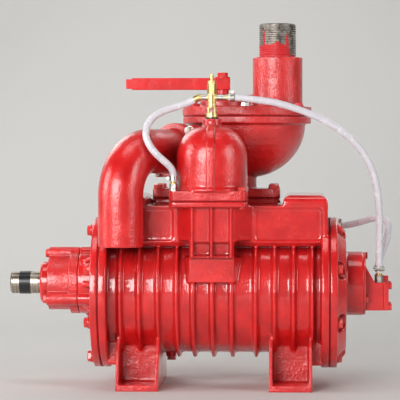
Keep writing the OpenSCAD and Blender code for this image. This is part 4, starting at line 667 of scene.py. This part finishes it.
# Changeover valve: an iron bowl behind the dome, bolted to the casing's rear port, with a round lid on it.
# Turning the brass shutter under the lid swaps suction and pressure. The lid's bolts were sprayed in place,
# all but the front one, which is bare zinc plate.
def sprayed(name, bare_middle, bare_reach, bright, dull):
    """Metal that was sprayed in place, red but for what lies within a reach of one spot, which is bare."""
    mottle_patch, ragged_by, fade_near, fade_far = 0.005, 0.005, 0.001, 0.003
    material, tree = new_material(name)
    place = add(tree, "ShaderNodeTexCoord").outputs["Object"]
    mottle = add(tree, "ShaderNodeTexNoise", inputs={
        "Vector": place, "Scale": 1 / mottle_patch, "Detail": 5.0})
    away = add(tree, "ShaderNodeVectorMath", {"operation": "DISTANCE"}, {0: place, 1: tuple(bare_middle)})
    ragged = add(tree, "ShaderNodeMath", {"operation": "MULTIPLY_ADD"}, {
        0: mottle.outputs["Fac"], 1: ragged_by, 2: away.outputs["Value"]})
    bare = add(tree, "ShaderNodeMapRange", inputs={
        "Value": ragged.outputs["Value"],
        "From Min": bare_reach + fade_far, "From Max": bare_reach + fade_near})
    metal = add(tree, "ShaderNodeValToRGB", inputs={"Fac": mottle.outputs["Fac"]}, stops=[
        (0.35, srgb(dull)), (0.65, srgb(bright))])
    tone = add(tree, "ShaderNodeMix", {"data_type": "RGBA"}, {
        "Factor": bare.outputs["Result"], 6: srgb("CE1C24"), 7: metal.outputs["Color"]})
    relief = add(tree, "ShaderNodeBump", inputs={"Height": mottle.outputs["Fac"], "Distance": 0.0003})
    shader = add(tree, "ShaderNodeBsdfPrincipled", inputs={
        "Base Color": tone.outputs[2], "Metallic": bare.outputs["Result"], "Roughness": 0.28,
        "Normal": relief.outputs["Normal"]})
    add(tree, "ShaderNodeOutputMaterial", inputs={"Surface": shader.outputs["BSDF"]})
    return material


bowl_mesh = cast_mesh("valve_body", 0.0016, 4, 150000)
new_piece("valve_body_painted", bowl_mesh, red_on_sand, "pump", ("valve_body",))
bolts("valve_base_bolts_painted", "valve_base_bolts", (0, 0, 1), m10_across, m10_head, m10_r,
      red_on_steel)
lid_mesh = cast_mesh("valve_lid", 0.0015, 4, 120000)
new_piece("valve_lid_painted", lid_mesh, red_on_sand, "pump", ("valve_lid",))
lid_bolt_feet = [foot for foot, low, high in islands("lid_bolts", Vector((0, 0, 1)))]
front_bolt = min(lid_bolt_feet, key=lambda foot: foot.y)
front_bolt.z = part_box("lid_bolts")[1][2]
front_bolt_reach, spindle_neck = 0.02, 0.02
sprayed_zinc = sprayed("zinc_plate_sprayed_in_place", front_bolt, front_bolt_reach, "F2F2EE", "C4C6C8")
bolts("lid_bolts_plated", "lid_bolts", (0, 0, 1), m8_across, m8_head, m8_r, sprayed_zinc)
spindle_low, spindle_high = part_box("valve_spindle")
spindle_foot = Vector((
    (spindle_low[0] + spindle_high[0]) / 2, (spindle_low[1] + spindle_high[1]) / 2, spindle_low[2]))
spindle_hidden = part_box("change_lever")[0][2] - spindle_neck - spindle_low[2]
sprayed_spindle = sprayed("ground_steel_sprayed_outside", spindle_foot, spindle_hidden, "D2D2D0", "A5A6A6")
dress(["valve_spindle"], sprayed_spindle)
dress(["valve_shutter"], brass)


# Changeover lever: a flat steel bar that is clamped on the spindle by a screw and points left at rest. It was
# brushed by hand, and hands have rubbed the shine off its red.
red_on_bar = enamel("red_enamel_rubbed_on_bar", 0.009, 0.0006, 0.4, 0.16, coat=0.1)
lever_mesh = cast_mesh("change_lever", 0.0007, 3, 60000)
new_piece("change_lever_painted", lever_mesh, red_on_bar, "valve", ("change_lever",))
dress(["lever_bolt"], red_on_bar)


# Inlet nipple: a steel pipe end with a pipe thread for the suction hose, screwed into the lid's tube before
# spraying, so its lower turns caught some of the red.
nipple_low, nipple_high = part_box("inlet_nipple")
nipple_foot = Vector(((nipple_low[0] + nipple_high[0]) / 2, (nipple_low[1] + nipple_high[1]) / 2, 0))
nipple_r, nipple_bore_r, nipple_root, nipple_lip, bore_lip = 0.0329, 0.0284, 0.0316, 0.0016, 0.0005
inlet_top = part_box("valve_lid")[1][2]
nipple_outline = [
    (nipple_bore_r, nipple_low[2]), (nipple_root, nipple_low[2]), (nipple_root, inlet_top),
    (nipple_root, nipple_high[2] - nipple_lip),
    (nipple_root - nipple_lip, nipple_high[2]), (nipple_bore_r + bore_lip, nipple_high[2]),
    (nipple_bore_r, nipple_high[2] - bore_lip), (nipple_bore_r, nipple_low[2])]

thread_tree, size = geometry_tree("pipe_thread", [
    ("Crest Radius", "Float"), ("Crest Height", "Float"), ("Pitch", "Float"), ("Length", "Float"),
    ("Material", "Material")])
helix_r = add(thread_tree, "ShaderNodeMath", {"operation": "SUBTRACT"}, {
    0: size["Crest Radius"], 1: size["Crest Height"]}).outputs["Value"]
thread_turns = add(thread_tree, "ShaderNodeMath", {"operation": "DIVIDE"}, {
    0: size["Length"], 1: size["Pitch"]})
helix = add(thread_tree, "GeometryNodeCurveSpiral", inputs={
    "Resolution": 48, "Rotations": thread_turns.outputs["Value"],
    "Start Radius": helix_r, "End Radius": helix_r, "Height": size["Length"]})
crest = add(thread_tree, "GeometryNodeCurvePrimitiveCircle", inputs={
    "Resolution": 6, "Radius": size["Crest Height"]})
winding = add(thread_tree, "GeometryNodeCurveToMesh", inputs={
    "Curve": helix.outputs["Curve"], "Profile Curve": crest.outputs["Curve"], "Fill Caps": True})
end_tree(thread_tree, winding.outputs["Mesh"], size["Material"])

# How far up the bare thread the paint reaches, round the nipple from its back by way of its left.
paint_line = [
    (0.0, 0.3), (0.33, 0.34), (0.356, 0.36), (0.364, 0.8), (0.374, 0.8), (0.384, 0.36), (0.47, 0.38),
    (0.5, 0.47), (0.535, 0.36), (0.571, 0.36), (0.581, 0.66), (0.598, 0.7), (0.606, 0.3), (0.625, 0.04),
    (0.72, 0.05), (0.8, 0.3)]
rub_patch, run_ragged, run_edge, run_over = 0.006, 0.006, 0.0012, 0.003
# Cut steel thread: grey, dulled by rust and grease, with runs of red down from the tube.
nipple_steel, tree = new_material("threaded_steel_with_paint_runs")
place = add(tree, "ShaderNodeTexCoord").outputs["Object"]
rub = add(tree, "ShaderNodeTexNoise", inputs={"Vector": place, "Scale": 1 / rub_patch, "Detail": 6.0})
from_axis = add(tree, "ShaderNodeVectorMath", {"operation": "SUBTRACT"}, {0: place, 1: tuple(nipple_foot)})
axis_parts = add(tree, "ShaderNodeSeparateXYZ", inputs={"Vector": from_axis.outputs["Vector"]}).outputs
forward = add(tree, "ShaderNodeMath", {"operation": "MULTIPLY"}, {0: axis_parts["Y"], 1: -1.0})
bearing = add(tree, "ShaderNodeMath", {"operation": "ARCTAN2"}, {
    0: axis_parts["X"], 1: forward.outputs["Value"]})
around = add(tree, "ShaderNodeMapRange", inputs={
    "Value": bearing.outputs["Value"], "From Min": -pi, "From Max": pi})
runs = add(tree, "ShaderNodeValToRGB", inputs={"Fac": around.outputs["Result"]}, stops=[
    (position, (level, level, level, 1.0)) for position, level in paint_line])
ragged = add(tree, "ShaderNodeMath", {"operation": "MULTIPLY_ADD"}, {
    0: rub.outputs["Fac"], 1: run_ragged, 2: axis_parts["Z"]})
paint_top = add(tree, "ShaderNodeMath", {"operation": "MULTIPLY_ADD"}, {
    0: runs.outputs["Color"], 1: nipple_high[2] - inlet_top, 2: inlet_top + run_over})
past_paint = add(tree, "ShaderNodeMath", {"operation": "SUBTRACT"}, {
    0: ragged.outputs["Value"], 1: paint_top.outputs["Value"]})
bare_by = add(tree, "ShaderNodeMapRange", inputs={
    "Value": past_paint.outputs["Value"], "From Min": 0.0, "From Max": run_edge})
steel_tone = add(tree, "ShaderNodeValToRGB", inputs={"Fac": rub.outputs["Fac"]}, stops=[
    (0.35, srgb("6E6861")), (0.65, srgb("A8A198"))])
tone = add(tree, "ShaderNodeMix", {"data_type": "RGBA"}, {
    "Factor": bare_by.outputs["Result"], 6: srgb("CE2026"), 7: steel_tone.outputs["Color"]})
polish = add(tree, "ShaderNodeMapRange", inputs={
    "Value": rub.outputs["Fac"], "From Min": 0.3, "From Max": 0.7, "To Min": 0.38, "To Max": 0.6})
shader = add(tree, "ShaderNodeBsdfPrincipled", inputs={
    "Base Color": tone.outputs[2], "Metallic": bare_by.outputs["Result"],
    "Roughness": polish.outputs["Result"]})
add(tree, "ShaderNodeOutputMaterial", inputs={"Surface": shader.outputs["BSDF"]})

nipple_mesh = lathe("inlet_nipple_turned", nipple_outline, nipple_foot, (0, 0, 1), 96)
new_piece("inlet_nipple_turned", nipple_mesh, nipple_steel, "pump", ("inlet_nipple",))
thread_gap, thread_end, thread_crest, thread_pitch = 0.004, 0.003, 0.0012, 0.0038
thread_l = nipple_high[2] - inlet_top - thread_gap - thread_end
thread_mesh = grown(thread_tree, bpy.data.meshes.new("inlet_thread"), {
    "Crest Radius": nipple_r, "Crest Height": thread_crest, "Pitch": thread_pitch, "Length": thread_l,
    "Material": nipple_steel})
for vertex in thread_mesh.vertices:
    vertex.co += nipple_foot + Vector((0, 0, inlet_top + thread_gap))
new_piece("inlet_thread", thread_mesh, nipple_steel, "pump")


# Exhaust elbow: steel tube bent a quarter turn, welded to a two-stud flange and sprayed with the rest, so its
# long soft highlights are broken by the grain of the enamel. Plated nuts hold it to the changeover valve.
elbow_mesh = cast_mesh("exhaust_elbow", 0.0014, 5, 110000)
new_piece("exhaust_elbow_painted", elbow_mesh, red_on_shell, "pump", ("exhaust_elbow",))
# The way that the tube runs back to its flange, seen from above.
run_x, run_y = 0.5446, 0.8387
nut_h, stud_out = 0.007, 0.004
bolts("elbow_nuts_plated", "elbow_studs", (-run_x, -run_y, 0), m8_across, nut_h, m8_r, zinc,
      stud=stud_out)


# Oil hoses: clear flexible tube gone milky with use, pushed on the fittings and held by worm clamps. One
# feeds the oiler from the gear pump, one draws oil from the tank, and one carries the drip from the oiler to
# the dome's foot.
hose_d = 0.012
feed_route = [
    (0.024, -0.085, 0.495), (0.034, -0.085, 0.495), (0.048, -0.085, 0.494), (0.072, -0.084, 0.491),
    (0.104, -0.082, 0.486), (0.132, -0.079, 0.478), (0.160, -0.075, 0.468), (0.190, -0.068, 0.454),
    (0.214, -0.061, 0.439), (0.236, -0.053, 0.420), (0.254, -0.046, 0.398), (0.267, -0.040, 0.373),
    (0.275, -0.033, 0.346), (0.279, -0.027, 0.318), (0.281, -0.020, 0.288), (0.281, -0.015, 0.258),
    (0.281, -0.013, 0.232), (0.281, -0.013, 0.208), (0.281, -0.013, 0.1945)]
suction_route = [
    (0.2075, 0.1000, 0.2720), (0.2188, 0.1000, 0.2720), (0.2292, 0.0990, 0.2729),
    (0.2391, 0.0968, 0.2749), (0.2488, 0.0933, 0.2775), (0.2580, 0.0886, 0.2805),
    (0.2666, 0.0829, 0.2834), (0.2745, 0.0761, 0.2857), (0.2817, 0.0683, 0.2869),
    (0.2880, 0.0596, 0.2864), (0.2931, 0.0506, 0.2839), (0.2966, 0.0418, 0.2792),
    (0.2982, 0.0337, 0.2725), (0.2980, 0.0268, 0.2643), (0.2962, 0.0215, 0.2552),
    (0.2932, 0.0176, 0.2457), (0.2895, 0.0152, 0.2359), (0.2857, 0.0138, 0.2260),
    (0.2826, 0.0131, 0.2161), (0.2810, 0.0130, 0.2058), (0.2810, 0.0130, 0.1945)]
drip_route = [
    (-0.0340, -0.0850, 0.4910), (-0.0436, -0.0850, 0.4862), (-0.0530, -0.0860, 0.4829),
    (-0.0625, -0.0874, 0.4798), (-0.0721, -0.0895, 0.4767), (-0.0815, -0.0922, 0.4734),
    (-0.0904, -0.0959, 0.4693), (-0.0984, -0.1015, 0.4641), (-0.1051, -0.1080, 0.4574),
    (-0.1100, -0.1146, 0.4494), (-0.1125, -0.1208, 0.4403), (-0.1124, -0.1258, 0.4307),
    (-0.1094, -0.1294, 0.4211), (-0.1044, -0.1312, 0.4117), (-0.0978, -0.1314, 0.4032),
    (-0.0902, -0.1298, 0.3953), (-0.0822, -0.1269, 0.3880), (-0.0747, -0.1231, 0.3808),
    (-0.0690, -0.1197, 0.3730), (-0.0670, -0.1180, 0.3635), (-0.0670, -0.1180, 0.3535)]

bloom_patch = 0.02
# Soft vinyl tube: milky, faintly lilac and a little see-through, with a scuffed half shine.
milky_tube, tree = new_material("clear_tube_gone_milky")
bloom = add(tree, "ShaderNodeTexNoise", inputs={
    "Vector": add(tree, "ShaderNodeTexCoord").outputs["Object"], "Scale": 1 / bloom_patch, "Detail": 2.0})
milk = add(tree, "ShaderNodeValToRGB", inputs={"Fac": bloom.outputs["Fac"]}, stops=[
    (0.3, srgb("E5E1E8")), (0.7, srgb("EEEBF0"))])
scuff = add(tree, "ShaderNodeMapRange", inputs={
    "Value": bloom.outputs["Fac"], "From Min": 0.3, "From Max": 0.7, "To Min": 0.16, "To Max": 0.34})
shader = add(tree, "ShaderNodeBsdfPrincipled", inputs={
    "Base Color": milk.outputs["Color"], "Roughness": scuff.outputs["Result"], "IOR": 1.5,
    "Transmission Weight": 0.22})
add(tree, "ShaderNodeOutputMaterial", inputs={"Surface": shader.outputs["BSDF"]})


def hose(name, route, node):
    """A hose along its route, from one fitting to the other."""
    line = bpy.data.curves.new(name, "CURVE")
    line.dimensions = "3D"
    line.bevel_depth = hose_d / 2
    line.bevel_resolution = 5
    line.resolution_u = 8
    line.use_fill_caps = True
    spline = line.splines.new("BEZIER")
    spline.bezier_points.add(len(route) - 1)
    for point, place in zip(spline.bezier_points, route):
        point.co = place
        point.handle_left_type = point.handle_right_type = "AUTO"
    line.materials.append(milky_tube)
    piece = bpy.data.objects.new(name, line)
    scene.collection.objects.link(piece)
    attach(piece, "pump")
    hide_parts(node)


hose("feed_hose_clear", feed_route, "feed_hose")
hose("suction_hose_clear", suction_route, "suction_hose")
hose("drip_hose_clear", drip_route, "drip_hose")
dress(["tank_fitting", "hose_clamps"], zinc)
